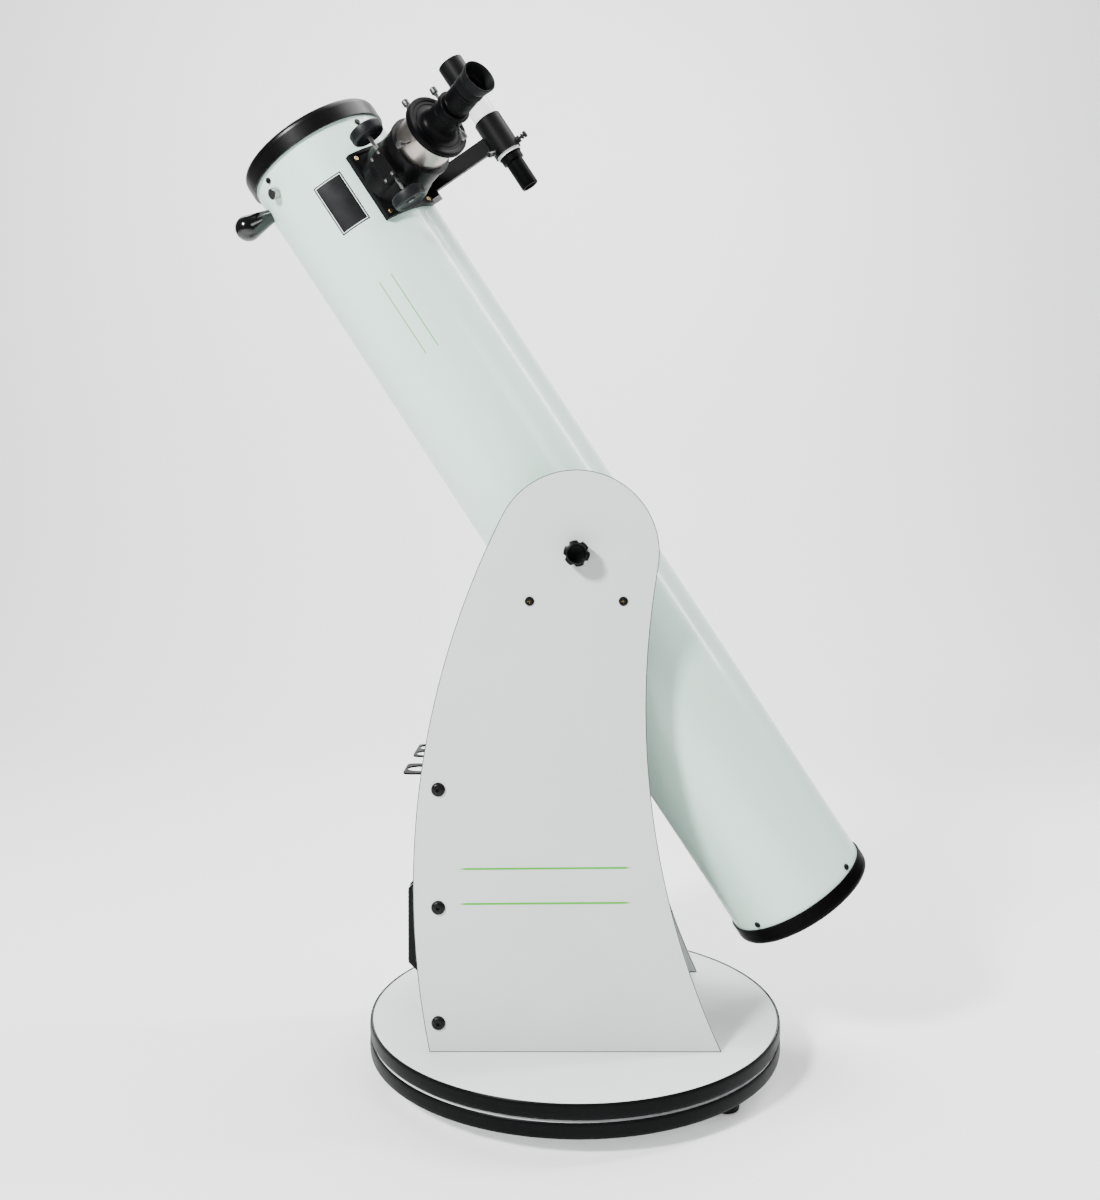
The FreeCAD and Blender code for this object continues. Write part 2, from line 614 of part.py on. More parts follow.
def make_eyepiece_rack():
    """A bent shelf with two lobes and holes for spare 1.25 inch eyepieces."""
    top = DECK + RACK_HEIGHT
    low = top - RACK_THICK
    near, far = RACK_NEAR, RACK_FAR
    span = (near[0], far[1])
    shelf = box((FRONT_FACE - RACK_WEB, FRONT_FACE), span, (low, top))
    lobes = [box((FRONT_FACE - RACK_DEEP, FRONT_FACE), lobe, (low, top)) for lobe in (near, far)]
    flange = box((FRONT_FACE - RACK_THICK, FRONT_FACE), span, (top - RACK_FLANGE, top))
    rack = shelf.fuse(lobes + [flange]).removeSplitter()
    tip = FRONT_FACE - RACK_DEEP
    rack = rounded(rack, RACK_CORNER, lambda e: abs(e.BoundBox.XMin - tip) < 0.01 and
                   e.BoundBox.XLength < 0.01 and e.BoundBox.YLength < 0.01)
    third = (far[1] - far[0]) / 4
    x = FRONT_FACE - RACK_DEEP / 2 - RACK_THICK / 2
    for y in (sum(near) / 2, far[0] + third, far[1] - third):
        rack = rack.cut(rod(RACK_HOLE, (x, y, low - 1), (x, y, top + 1)))
    for y, z in rack_screw_spots():
        rack = rack.cut(rod(SCREW_RADIUS + FIT, (FRONT_FACE - 5, y, z), (FRONT_FACE + 1, y, z)))
    save("eyepiece_rack", rack)


# ------------------------------------------------------------ altitude bearing

def make_posts():
    posts = []
    for side in (-1, 1):
        for x in (-POST_X, POST_X):
            post = rod(POST_RADIUS, (x, side * (TUBE_RADIUS + POST_CLEAR), POST_Z), (x, side * INNER_FACE, POST_Z))
            depth = INNER_FACE - POST_SCREW_DEPTH - 1
            hole = rod(SCREW_RADIUS + FIT, (x, side * depth, POST_Z), (x, side * (INNER_FACE + 1), POST_Z))
            posts.append(post.cut(hole))
    save("altitude_posts", *posts)


def bearing_screw_holes(side):
    """Holes from the tube's axis out into one side bearing."""
    holes = []
    for turn, z in BEARING_SCREWS:
        x, y = polar(TUBE_RADIUS + BEARING_SCREW_DEPTH + 4, turn + side * 90)
        holes.append(rod(TUBE_SCREW + FIT, (0, 0, z), (x, y, z)))
    return holes


def make_side_bearings():
    """Round trunnions that saddle the tube and roll on the posts."""
    face = INNER_FACE - 2 * GAP
    for name, side in (("left", -1), ("right", 1)):
        disc = rod(BEARING_RADIUS, (0, side * TUBE_RADIUS / 2, 0), (0, side * face, 0))
        disc = disc.cut(rod(TUBE_SKIN, (0, 0, -TUBE_RADIUS), (0, 0, TUBE_RADIUS)))
        inner = side * (face - STUD_DEPTH - 1)
        disc = disc.cut(rod(STUD_RADIUS + RUN, (0, inner, 0), (0, side * (face + 1), 0)))
        save_on_tube("side_bearing_" + name, disc.cut(bearing_screw_holes(side)))


def lobed_knob():
    """Six-lobed hand knob on z = 0 with a neck below and a round cap on top."""
    grip = rod(KNOB_RADIUS, (0, 0, 0), (0, 0, KNOB_THICK))
    for angle in around(KNOB_LOBES, 30.0):
        x, y = polar(KNOB_RADIUS + KNOB_NOTCH * 0.35, angle)
        grip = grip.cut(rod(KNOB_NOTCH, (x, y, -1), (x, y, KNOB_THICK + 1)))
    cap = rod(KNOB_CAP, (0, 0, KNOB_THICK), (0, 0, KNOB_THICK + KNOB_CAP_HIGH))
    cap = rounded(cap, KNOB_CAP_HIGH * 0.7, rim_at(KNOB_THICK + KNOB_CAP_HIGH))
    neck = rod(KNOB_NECK, (0, 0, -KNOB_STAND), (0, 0, 0))
    return grip.fuse([cap, neck]).removeSplitter()


def make_tension_knobs():
    stud_end = INNER_FACE - 2 * GAP - STUD_DEPTH
    for name, side in (("left", -1), ("right", 1)):
        foot = OUTER_FACE + GAP
        knob = aimed(lobed_knob(), (0, side * (foot + KNOB_STAND), 0), (0, side, 0))
        stud = rod(STUD_RADIUS, (0, side * stud_end, 0), (0, side * (foot + 1), 0))
        save_on_tube("tension_knob_" + name, knob.fuse(stud).removeSplitter())


# ---------------------------------------------------------------- optical tube

def tube_screw_spots():
    """Station and angle of the screws that hold the two end rings."""
    return [(s, a) for s in (FRONT_SCREWS, REAR_SCREWS) for a in QUARTER_ANGLES]


def radial_hole(radius, station, angle):
    hole = rod(radius, (0, 0, TUBE_BORE - RING_SKIRT - 8), (0, 0, TUBE_RADIUS + BEYOND))
    return on_tube(hole, station, angle)


def saddle_screw_spots():
    return [(x, y) for x in (-SADDLE_SCREW_X, SADDLE_SCREW_X) for y in (-SADDLE_SCREW_Y, SADDLE_SCREW_Y)]


def saddle_seat():
    """Height of the flat seats under the focuser's corner screws."""
    return math.sqrt((TUBE_RADIUS + SADDLE_THICK) ** 2 - (SADDLE_SCREW_Y + TUBE_SCREW_HEAD) ** 2)


def saddle_holes(radius):
    """The four holes under the focuser's corners, drilled square to the focuser."""
    holes = [rod(radius, (x, y, TUBE_RADIUS / 2), (x, y, TUBE_RADIUS + BEYOND)) for x, y in saddle_screw_spots()]
    return [on_tube(hole, FOCUSER_STATION, FOCUSER_ANGLE) for hole in holes]


def make_tube():
    wall = rod(TUBE_RADIUS, (0, 0, TUBE_REAR), (0, 0, TUBE_FRONT))
    wall = wall.cut(rod(TUBE_BORE, (0, 0, TUBE_REAR - 1), (0, 0, TUBE_FRONT + 1)))
    holes = [radial_hole(TUBE_SCREW + FIT, s, a) for s, a in tube_screw_spots()]
    holes += [radial_hole(SPIDER_STUD + FIT, SPIDER_STATION, a) for a in QUARTER_ANGLES]
    holes += saddle_holes(TUBE_SCREW + FIT)
    draw = rod(SHAFT_OUT - PITCH_RADIUS + 2, (0, 0, 0), (0, 0, TUBE_RADIUS + BEYOND))
    holes.append(on_tube(draw, FOCUSER_STATION, FOCUSER_ANGLE))
    holes.append(radial_hole(GRIP_STUD + FIT, GRIP_STATION, GRIP_ANGLE))
    for x in shoe_screw_xs():
        holes.append(radial_hole(TUBE_SCREW + FIT, shoe_station() + x, FINDER_ANGLE))
    holes += bearing_screw_holes(-1) + bearing_screw_holes(1)
    save_on_tube("optical_tube", wall.cut(holes))


def end_ring(outer, start, end, mouth, skirt_start, tube_end):
    """A rounded end ring with a skirt inside the tube, open in the middle."""
    up = 1 if end > start else -1
    inside = TUBE_BORE - FIT
    skirt = inside - RING_SKIRT
    lip = end - up * RING_LIP
    edge = RING_LIP / 2
    profile = [(TUBE_SKIN, start), (outer, start), (outer, end - up * RING_ROUND),
               (outer - RING_ROUND * 0.07, end - up * RING_ROUND * 0.62),
               (outer - RING_ROUND * 0.23, end - up * RING_ROUND * 0.31),
               (outer - RING_ROUND * 0.43, end - up * RING_ROUND * 0.1), (outer - RING_ROUND * 0.66, end),
               (mouth + edge, end), (mouth, end - up * edge), (mouth, lip),
               (skirt, lip - up * edge), (skirt, skirt_start), (inside, skirt_start),
               (inside, tube_end + up * FIT), (TUBE_SKIN, tube_end + up * FIT)]
    return turned(profile)


def make_rings():
    front = end_ring(FRONT_RING_RADIUS, FRONT_RING_START, FRONT_RING_END, FRONT_RING_MOUTH,
                     FRONT_SKIRT_START, TUBE_FRONT)
    rear = end_ring(REAR_RING_RADIUS, REAR_RING_START, REAR_RING_END, REAR_RING_MOUTH,
                    REAR_SKIRT_START, TUBE_REAR)
    for node, ring, station in (("front_ring", front, FRONT_SCREWS), ("rear_ring", rear, REAR_SCREWS)):
        holes = [radial_hole(TUBE_SCREW + FIT, station, a) for a in QUARTER_ANGLES]
        save_on_tube(node, ring.cut(holes))


def make_tube_screws():
    """Ring screws from outside, bearing screws from inside the tube."""
    ring = screw(TUBE_SCREW_HEAD, TUBE_SCREW_HEAD_HIGH, TUBE_SCREW, TUBE_WALL + RING_SKIRT)
    ring = aimed(ring, (0, 0, TUBE_SKIN), (0, 0, 1))
    screws = [on_tube(ring, s, a) for s, a in tube_screw_spots()]
    bearing = screw(TUBE_SCREW_HEAD, TUBE_SCREW_HEAD_HIGH, TUBE_SCREW, TUBE_WALL + BEARING_SCREW_DEPTH)
    for side in (-1, 1):
        for turn, z in BEARING_SCREWS:
            x, y = polar(TUBE_BORE - 2 * FIT, turn + side * 90)
            screws.append(aimed(bearing, (x, y, z), (-x, -y, 0)))
    save_on_tube("tube_screws", *screws)


def make_tube_handle():
    """Pear-shaped handle: a tapered neck that swells into a ball."""
    neck, ball, reach = GRIP_NECK, GRIP_BALL, GRIP_REACH
    lean = math.asin((ball - neck) / reach)
    join_r, join_z = ball * math.cos(lean), reach - ball * math.sin(lean)
    base = Part.LineSegment(V(0, 0, -2), V(neck, 0, -2)).toShape()
    side = Part.LineSegment(V(neck, 0, -2), V(join_r, 0, join_z)).toShape()
    half = (math.pi / 2 - lean) / 2
    middle = V(ball * math.cos(half), 0, reach + ball * math.sin(half))
    top = Part.Arc(V(join_r, 0, join_z), middle, V(0, 0, reach + ball)).toShape()
    axis = Part.LineSegment(V(0, 0, reach + ball), V(0, 0, -2)).toShape()
    body = Part.Face(Part.Wire([base, side, top, axis])).revolve(V(0, 0, 0), V(0, 0, 1), 360)
    body = moved(body, FreeCAD.Placement(V(0, 0, TUBE_RADIUS), FreeCAD.Rotation()))
    body = body.cut(rod(TUBE_SKIN, (-GRIP_BALL, 0, 0), (GRIP_BALL, 0, 0)))
    stud = rod(GRIP_STUD, (0, 0, TUBE_BORE - 4), (0, 0, TUBE_RADIUS + 2))
    save_on_tube("tube_handle", on_tube(body.fuse(stud), GRIP_STATION, GRIP_ANGLE))


# ------------------------------------------------------------- primary mirror

def make_primary():
    """A disc with a concave front whose radius of curvature is twice the focal length."""
    front = MIRROR_BACK + MIRROR_THICK
    blank = rod(MIRROR_RADIUS, (0, 0, MIRROR_BACK), (0, 0, front))
    curve = 2 * FOCAL_LENGTH
    sag = curve - math.sqrt(curve ** 2 - (MIRROR_RADIUS - MIRROR_BEVEL) ** 2)
    ball = Part.makeSphere(curve, V(0, 0, front - sag + curve))
    save_on_tube("primary_mirror", blank.cut(ball))


def three_windows(radius, low, high):
    """Three open sectors between spokes, for cooling and light weight."""
    hub = rod(WINDOW_HUB, (0, 0, low - 1), (0, 0, high + 1))
    windows = []
    for angle in around(3, THIRD_FIRST - WINDOW_SPAN / 2):
        sector = Part.makeCylinder(radius, high - low, V(0, 0, low), V(0, 0, 1), WINDOW_SPAN)
        sector.rotate(V(0, 0, 0), V(0, 0, 1), angle)
        windows.append(sector.cut(hub))
    return windows


def collimation_spots():
    return [polar(COLLIMATION_RADIUS, a) for a in around(3, THIRD_FIRST + 60.0)]


def make_cell():
    cell_front = CELL_BACK + CELL_THICK
    cell = rod(CELL_RADIUS, (0, 0, CELL_BACK), (0, 0, cell_front))
    cell = cell.cut(three_windows(CELL_WINDOW, CELL_BACK - 1, cell_front + 1))
    frame_back = FRAME_FACE - FRAME_THICK
    frame = rod(FRAME_RADIUS, (0, 0, frame_back), (0, 0, FRAME_FACE))
    frame = frame.cut(three_windows(FRAME_WINDOW, frame_back - 1, FRAME_FACE + 1))
    springs = []
    for x, y in collimation_spots():
        thread = rod(COLLIMATION_STUD + RUN, (x, y, frame_back - 1), (x, y, cell_front - 1.5))
        cell, frame = cell.cut(thread), frame.cut(thread)
        springs.append(coil_spring(x, y))
    for angle in around(3, THIRD_FIRST):
        cell = cell.fuse(clip_post(angle))
    save_on_tube("mirror_cell", cell.removeSplitter())
    save_on_tube("cell_frame", frame)
    save_on_tube("collimation_springs", *springs)


def coil_spring(x, y):
    """Round wire that climbs in short straight steps round the adjuster's screw."""
    pitch = (SPRING_SPACE - 2 * SPRING_WIRE - 2 * FIT) / SPRING_TURNS
    points = []
    for i in range(SPRING_STEPS * SPRING_TURNS + 1):
        turn_x, turn_y = polar(SPRING_RADIUS, 360.0 * i / SPRING_STEPS)
        low = FRAME_FACE + SPRING_WIRE + FIT
        points.append(V(x + turn_x, y + turn_y, low + pitch * i / SPRING_STEPS))
    circle = Part.Wire(Part.makeCircle(SPRING_WIRE, points[0], points[1] - points[0]))
    return Part.makePolygon(points).makePipeShell([circle], True, False, 1)


def clip_post(angle):
    """A stop beside the mirror that carries one clip."""
    start = MIRROR_RADIUS + FIT
    high = MIRROR_BACK + MIRROR_THICK
    post = box((start, CELL_RADIUS), (-CLIP_WIDE / 2, CLIP_WIDE / 2), (CELL_BACK, high))
    post.rotate(V(0, 0, 0), V(0, 0, 1), angle)
    return post


def make_clips():
    low = MIRROR_BACK + MIRROR_THICK
    clips = []
    for angle in around(3, THIRD_FIRST):
        span = (MIRROR_RADIUS - CLIP_REACH, CELL_RADIUS)
        clip = box(span, (-CLIP_WIDE / 2, CLIP_WIDE / 2), (low, low + CLIP_THICK))
        clip.rotate(V(0, 0, 0), V(0, 0, 1), angle)
        clips.append(clip)
    save_on_tube("mirror_clips", *clips)


def make_collimation_knobs():
    back = FRAME_FACE - FRAME_THICK - GAP
    end = CELL_BACK + CELL_THICK - 2.0
    for i, (x, y) in enumerate(collimation_spots(), 1):
        knob = rod(COLLIMATION_KNOB, (x, y, back - COLLIMATION_KNOB_HIGH), (x, y, back))
        knob = rounded(knob, 1.0, rim_at(back - COLLIMATION_KNOB_HIGH))
        for angle in around(8):
            nx, ny = polar(COLLIMATION_KNOB + 1.0, angle)
            low, high = back - COLLIMATION_KNOB_HIGH - 1, back + 1
            knob = knob.cut(rod(2.0, (x + nx, y + ny, low), (x + nx, y + ny, high)))
        stud = rod(COLLIMATION_STUD, (x, y, back - 2), (x, y, end))
        save_on_tube("collimation_knob_%d" % i, knob.fuse(stud).removeSplitter())


# ---------------------------------------------------------- spider, secondary

def make_spider():
    low, high = SPIDER_STATION - VANE_DEEP / 2, SPIDER_STATION + VANE_DEEP / 2
    hub = rod(HUB_RADIUS, (0, 0, SPIDER_STATION - HUB_HIGH / 2), (0, 0, SPIDER_STATION + HUB_HIGH / 2))
    arms = []
    nuts = []
    for angle in QUARTER_ANGLES:
        tip = TUBE_BORE - 1.5
        vane = box((-VANE_DEEP / 2, VANE_DEEP / 2), (-VANE_THICK / 2, VANE_THICK / 2), (HUB_RADIUS - 1, tip))
        tab = box((-VANE_DEEP / 2, VANE_DEEP / 2), (-4.0, 4.0), (tip - 2.0, tip))
        tab = tab.common(rod(TUBE_BORE - FIT, (-VANE_DEEP, 0, 0), (VANE_DEEP, 0, 0)))
        end = TUBE_RADIUS + SPIDER_NUT_HIGH - 1
        stud = rod(SPIDER_STUD, (0, 0, tip - 1), (0, 0, end))
        arms += [on_tube(piece, SPIDER_STATION, angle) for piece in (vane, tab, stud)]
        nut = rod(SPIDER_NUT_RADIUS, (0, 0, TUBE_RADIUS - 1), (0, 0, TUBE_RADIUS + SPIDER_NUT_HIGH))
        nut = rounded(nut, 1.2, lambda e: abs(e.BoundBox.ZMin - TUBE_RADIUS - SPIDER_NUT_HIGH) < 0.01)
        nut = nut.cut(rod(TUBE_SKIN, (-BEYOND, 0, 0), (BEYOND, 0, 0)))
        nut = nut.cut(rod(SPIDER_STUD + RUN, (0, 0, 0), (0, 0, end + FIT)))
        nuts.append(on_tube(nut, SPIDER_STATION, angle))
    spider = hub.fuse(arms).removeSplitter()
    hub_hole = rod(SPIDER_STUD + FIT, (0, 0, low - BEYOND), (0, 0, high + BEYOND))
    save_on_tube("spider", spider.cut(hub_hole))
    save_on_tube("spider_nuts", *nuts)


def facing(shape):
    """Turn a piece drawn with its slope towards +X so that it looks into the focuser."""
    copy = shape.copy()
    copy.rotate(V(0, 0, 0), V(0, 0, 1), -FOCUSER_ANGLE)
    return copy


def slope_slab(radius, low, high):
    """A slice of an upright round bar between two 45 degree planes, through the focuser's station."""
    size = radius * 5
    bar = rod(radius, (0, 0, FOCUSER_STATION - size), (0, 0, FOCUSER_STATION + size))
    slab = box((-size, size), (-size, size), (low, high))
    slab.rotate(V(0, 0, 0), V(0, 1, 0), -45)
    slab.translate(V(0, 0, FOCUSER_STATION))
    return bar.common(slab)


def make_secondary():
    mirror = slope_slab(SECONDARY_RADIUS, 0.0, SECONDARY_THICK)
    top = SPIDER_STATION - HUB_HIGH / 2 - HOLDER_GAP
    holder = rod(HOLDER_RADIUS, (0, 0, FOCUSER_STATION - 3 * HOLDER_RADIUS), (0, 0, top))
    holder = holder.common(slope_slab(HOLDER_RADIUS, SECONDARY_THICK + FIT, 4 * HOLDER_RADIUS))
    holder = rounded(holder, 2.0, rim_at(top))
    holder = holder.cut(rod(SPIDER_STUD + FIT, (0, 0, top - HOLDER_SCREW_DEPTH - 2), (0, 0, top + 1)))
    save_on_tube("secondary_mirror", facing(mirror))
    save_on_tube("secondary_holder", facing(holder))
    hub_top = SPIDER_STATION + HUB_HIGH / 2
    long = HUB_HIGH + HOLDER_GAP + HOLDER_SCREW_DEPTH
    centre = screw(HOLDER_SCREW_HEAD, HOLDER_SCREW_HEAD_HIGH, SPIDER_STUD, long)
    screws = [aimed(centre, (0, 0, hub_top), (0, 0, 1))]
    save_on_tube("secondary_screws", *screws)


# --------------------------------------------------------------------- focuser
# Drawn with X up the tube, Z out along the drawtube and Y towards the pinion's side.

def saddle():
    """Curved base plate with a raised rim, lying on the tube."""
    long, wide = SADDLE_LONG / 2, SADDLE_WIDE / 2
    top = TUBE_RADIUS + SADDLE_THICK
    blank = box((-long, long), (-wide, wide), (0, TUBE_RADIUS * 2))
    plate = blank.common(rod(top + SADDLE_RIM, (-long, 0, 0), (long, 0, 0)))
    field = box((-long + SADDLE_RIM_WIDE, long - SADDLE_RIM_WIDE),
                (-wide + SADDLE_RIM_WIDE, wide - SADDLE_RIM_WIDE), (0, TUBE_RADIUS * 2))
    plate = plate.cut(field.cut(rod(top, (-long, 0, 0), (long, 0, 0))))
    return plate.cut(rod(TUBE_SKIN, (-long - 1, 0, 0), (long + 1, 0, 0)))


def make_focuser_body():
    foot = TUBE_RADIUS * 0.9
    body = turned([(0, foot), (BODY_FOOT_RADIUS, foot), (BODY_FOOT_RADIUS, BODY_FOOT_TOP),
                   (BODY_WAIST_RADIUS, BODY_WAIST), (BODY_WAIST_RADIUS, BODY_TOP - 6.0),
                   (BODY_WAIST_RADIUS + 1.2, BODY_TOP - 5.0), (BODY_WAIST_RADIUS + 1.2, BODY_TOP), (0, BODY_TOP)])
    under = rod(TUBE_SKIN, (-SADDLE_LONG, 0, 0), (SADDLE_LONG, 0, 0))
    body = body.cut(under)
    half, high = BLOCK_LONG / 2, BLOCK_HIGH / 2
    block = box((-half, half), (DRAW_RADIUS * 0.5, BLOCK_OUT), (SHAFT_HEIGHT - high, SHAFT_HEIGHT + high))
    gusset = box((-half, half), (DRAW_RADIUS * 0.5, BLOCK_OUT - 6), (TUBE_RADIUS - 4, SHAFT_HEIGHT))
    body = body.fuse([saddle(), block, gusset.cut(under)]).removeSplitter()
    body = body.cut(rod(DRAW_RADIUS + RUN, (0, 0, 0), (0, 0, BODY_TOP + 1)))
    keyway = GEAR_WIDE / 2 + GAP
    body = body.cut(box((-keyway, keyway), (DRAW_RADIUS - 4, SHAFT_OUT - PITCH_RADIUS + 1.4), (0, BODY_TOP + 1)))
    pocket = PITCH_RADIUS + PINION_ADDENDUM + 0.6
    body = body.cut(rod(pocket, (-keyway, SHAFT_OUT, SHAFT_HEIGHT), (keyway, SHAFT_OUT, SHAFT_HEIGHT)))
    body = body.cut(shaft_hole())
    holes = [rod(TUBE_SCREW + FIT, (x, y, 0), (x, y, TUBE_RADIUS + BEYOND)) for x, y in saddle_screw_spots()]
    seat, wide = saddle_seat(), TUBE_SCREW_HEAD + GAP
    holes += [rod(wide, (x, y, seat), (x, y, TUBE_RADIUS + BEYOND)) for x, y in saddle_screw_spots()]
    holes += [rod(COVER_SCREW_HEAD / 2 + FIT, (x, BLOCK_OUT - 7, z), (x, BLOCK_OUT + 1, z))
              for x, z in cover_screw_spots()]
    save_on_tube("focuser_body", on_tube(body.cut(holes), FOCUSER_STATION, FOCUSER_ANGLE))


def shaft_hole():
    reach = SHAFT_LONG
    return rod(SHAFT_RADIUS + RUN, (-reach, SHAFT_OUT, SHAFT_HEIGHT), (reach, SHAFT_OUT, SHAFT_HEIGHT))


def cover_screw_spots():
    return [(x, SHAFT_HEIGHT + z) for x in (-COVER_SCREW_X, COVER_SCREW_X) for z in (-COVER_SCREW_Z, COVER_SCREW_Z)]


def make_pinion_cover():
    half, high = BLOCK_LONG / 2, BLOCK_HIGH / 2
    outside = BLOCK_OUT + COVER_THICK
    cover = box((-half, half), (BLOCK_OUT, outside), (SHAFT_HEIGHT - high, SHAFT_HEIGHT + high))
    cover = rounded(cover, 1.2, lambda e: abs(e.BoundBox.YMin - outside) < 0.01)
    for x, z in cover_screw_spots():
        cover = cover.cut(rod(COVER_SCREW_HEAD / 2 + FIT, (x, BLOCK_OUT - 1, z), (x, outside + 1, z)))
    save_on_tube("pinion_cover", on_tube(cover, FOCUSER_STATION, FOCUSER_ANGLE))


def make_focuser_screws():
    corner = screw(TUBE_SCREW_HEAD, TUBE_SCREW_HEAD_HIGH, TUBE_SCREW, SADDLE_SCREW_LONG)
    screws = []
    for x, y in saddle_screw_spots():
        screws.append(aimed(corner, (x, y, saddle_seat()), (0, 0, 1)))
    small = screw(COVER_SCREW_HEAD, 1.4, COVER_SCREW_HEAD / 2, COVER_THICK + 6.0)
    for x, z in cover_screw_spots():
        screws.append(aimed(small, (x, BLOCK_OUT + COVER_THICK, z), (0, 1, 0)))
    save_on_tube("focuser_screws", *[on_tube(s, FOCUSER_STATION, FOCUSER_ANGLE) for s in screws])


def involute_pinion():
    """Twelve involute teeth with a tooth pointing at -Y, drawn about X."""
    base = PITCH_RADIUS * math.cos(PRESSURE)
    tip = PITCH_RADIUS + PINION_ADDENDUM
    root = PITCH_RADIUS - RACK_ADDENDUM - TOOTH_GAP
    spread = math.tan(PRESSURE) - PRESSURE
    half = math.pi / (2 * PINION_TEETH) - BACKLASH / (2 * PITCH_RADIUS)

    def flank(radius):
        lean = math.acos(min(1.0, base / radius))
        return half + spread - (math.tan(lean) - lean)

    radii = [base + (tip - base) * i / 3 for i in range(4)]
    outline = [(root, flank(base))] + [(r, flank(r)) for r in radii]
    points = []
    for tooth in range(PINION_TEETH):
        centre = 2 * math.pi * tooth / PINION_TEETH - math.pi / 2
        for r, turn in outline:
            points.append((r, centre - turn))
        for r, turn in reversed(outline):
            points.append((r, centre + turn))
    wire = [V(-GEAR_WIDE / 2, r * math.cos(a), r * math.sin(a)) for r, a in points]
    return Part.Face(Part.makePolygon(wire + wire[:1])).extrude(V(GEAR_WIDE, 0, 0))


def make_focus_shaft():
    half = SHAFT_LONG / 2
    shaft = rod(SHAFT_RADIUS, (-half, 0, 0), (half, 0, 0)).fuse(involute_pinion())
    place = FreeCAD.Placement(V(0, SHAFT_OUT, SHAFT_HEIGHT), FreeCAD.Rotation())
    save_on_tube("focus_shaft", on_tube(moved(shaft, place), FOCUSER_STATION, FOCUSER_ANGLE))
    knobs = []
    for side in (-1, 1):
        knob = aimed(focus_knob(), (side * (half - FOCUS_KNOB_THICK + 1.0), SHAFT_OUT, SHAFT_HEIGHT), (side, 0, 0))
        knobs.append(on_tube(knob, FOCUSER_STATION, FOCUSER_ANGLE))
    save_on_tube("focus_knobs", *knobs)


def focus_knob():
    """A wide ribbed wheel with a dished outer face, on z = 0."""
    r, t = FOCUS_KNOB_RADIUS, FOCUS_KNOB_THICK
    wheel = turned([(0, 0), (r - 2.5, 0), (r - 0.8, 2.0), (r, t - 2.0), (r - 1.2, t), (r - 4.0, t),
                    (r - 5.0, t - 1.2), (6.0, t - 1.2), (5.0, t), (0, t)])
    for angle in around(FOCUS_KNOB_RIBS):
        x, y = polar(r + FOCUS_KNOB_RIB * 0.2, angle)
        wheel = wheel.cut(rod(FOCUS_KNOB_RIB, (x, y, 2.5), (x, y, t - 2.0)))
    return wheel.cut(rod(SHAFT_RADIUS + RUN, (0, 0, -1), (0, 0, t - 1.0)))


def rack_profile():
    """Closed (outward, along) outline of the drawtube's rack with straight-sided teeth."""
    pitch_line = SHAFT_OUT - PITCH_RADIUS
    tip, root = pitch_line + RACK_ADDENDUM, pitch_line - PINION_ADDENDUM - TOOTH_GAP
    thick = TOOTH_PITCH / 2 - BACKLASH / 2
    at_tip = thick / 2 - RACK_ADDENDUM * math.tan(PRESSURE)
    at_root = thick / 2 + (pitch_line - root) * math.tan(PRESSURE)
    below = math.ceil((SHAFT_HEIGHT - DRAW_RACK_START) / TOOTH_PITCH) - 0.5
    first = SHAFT_HEIGHT - below * TOOTH_PITCH
    back = DRAW_RADIUS - DRAW_WALL / 2
    end = first + (DRAW_RACK_TEETH - 0.5) * TOOTH_PITCH
    points = [(back, first - TOOTH_PITCH / 2), (root, first - TOOTH_PITCH / 2)]
    for i in range(DRAW_RACK_TEETH):
        z = first + i * TOOTH_PITCH
        points += [(root, z - at_root), (tip, z - at_tip), (tip, z + at_tip), (root, z + at_root)]
    return points + [(root, end), (back, end)]


def make_drawtube():
    """Chromed 2 inch drawtube with a rack let into its side."""
    inner, seat = DRAW_RADIUS - DRAW_WALL, SEAT_2_INCH + FIT
    collar = DRAW_TOP - DRAW_COLLAR
    tube = turned([(inner, DRAW_BOTTOM), (DRAW_RADIUS, DRAW_BOTTOM), (DRAW_RADIUS, DRAW_TOP),
                   (seat, DRAW_TOP), (seat, collar), (inner, collar - 4.0)])
    points = [V(-GEAR_WIDE / 2, y, z) for y, z in rack_profile()]
    rack = Part.Face(Part.makePolygon(points + points[:1])).extrude(V(GEAR_WIDE, 0, 0))
    tube = tube.fuse(rack).removeSplitter()
    for direction in draw_thumb_directions():
        tube = tube.cut(thumb_hole(direction, DRAW_THUMB_HEIGHT, SEAT_2_INCH - 2, DRAW_RADIUS + 3))
    save_on_tube("drawtube", on_tube(tube, FOCUSER_STATION, FOCUSER_ANGLE))


def draw_thumb_directions():
    return (0.0, 90.0)


def stem_thumb_directions():
    return (0.0, 180.0)


def thumb_hole(direction, height, start, end):
    x0, y0 = polar(start, direction)
    x1, y1 = polar(end, direction)
    return rod(THUMB_RADIUS + RUN, (x0, y0, height), (x1, y1, height))


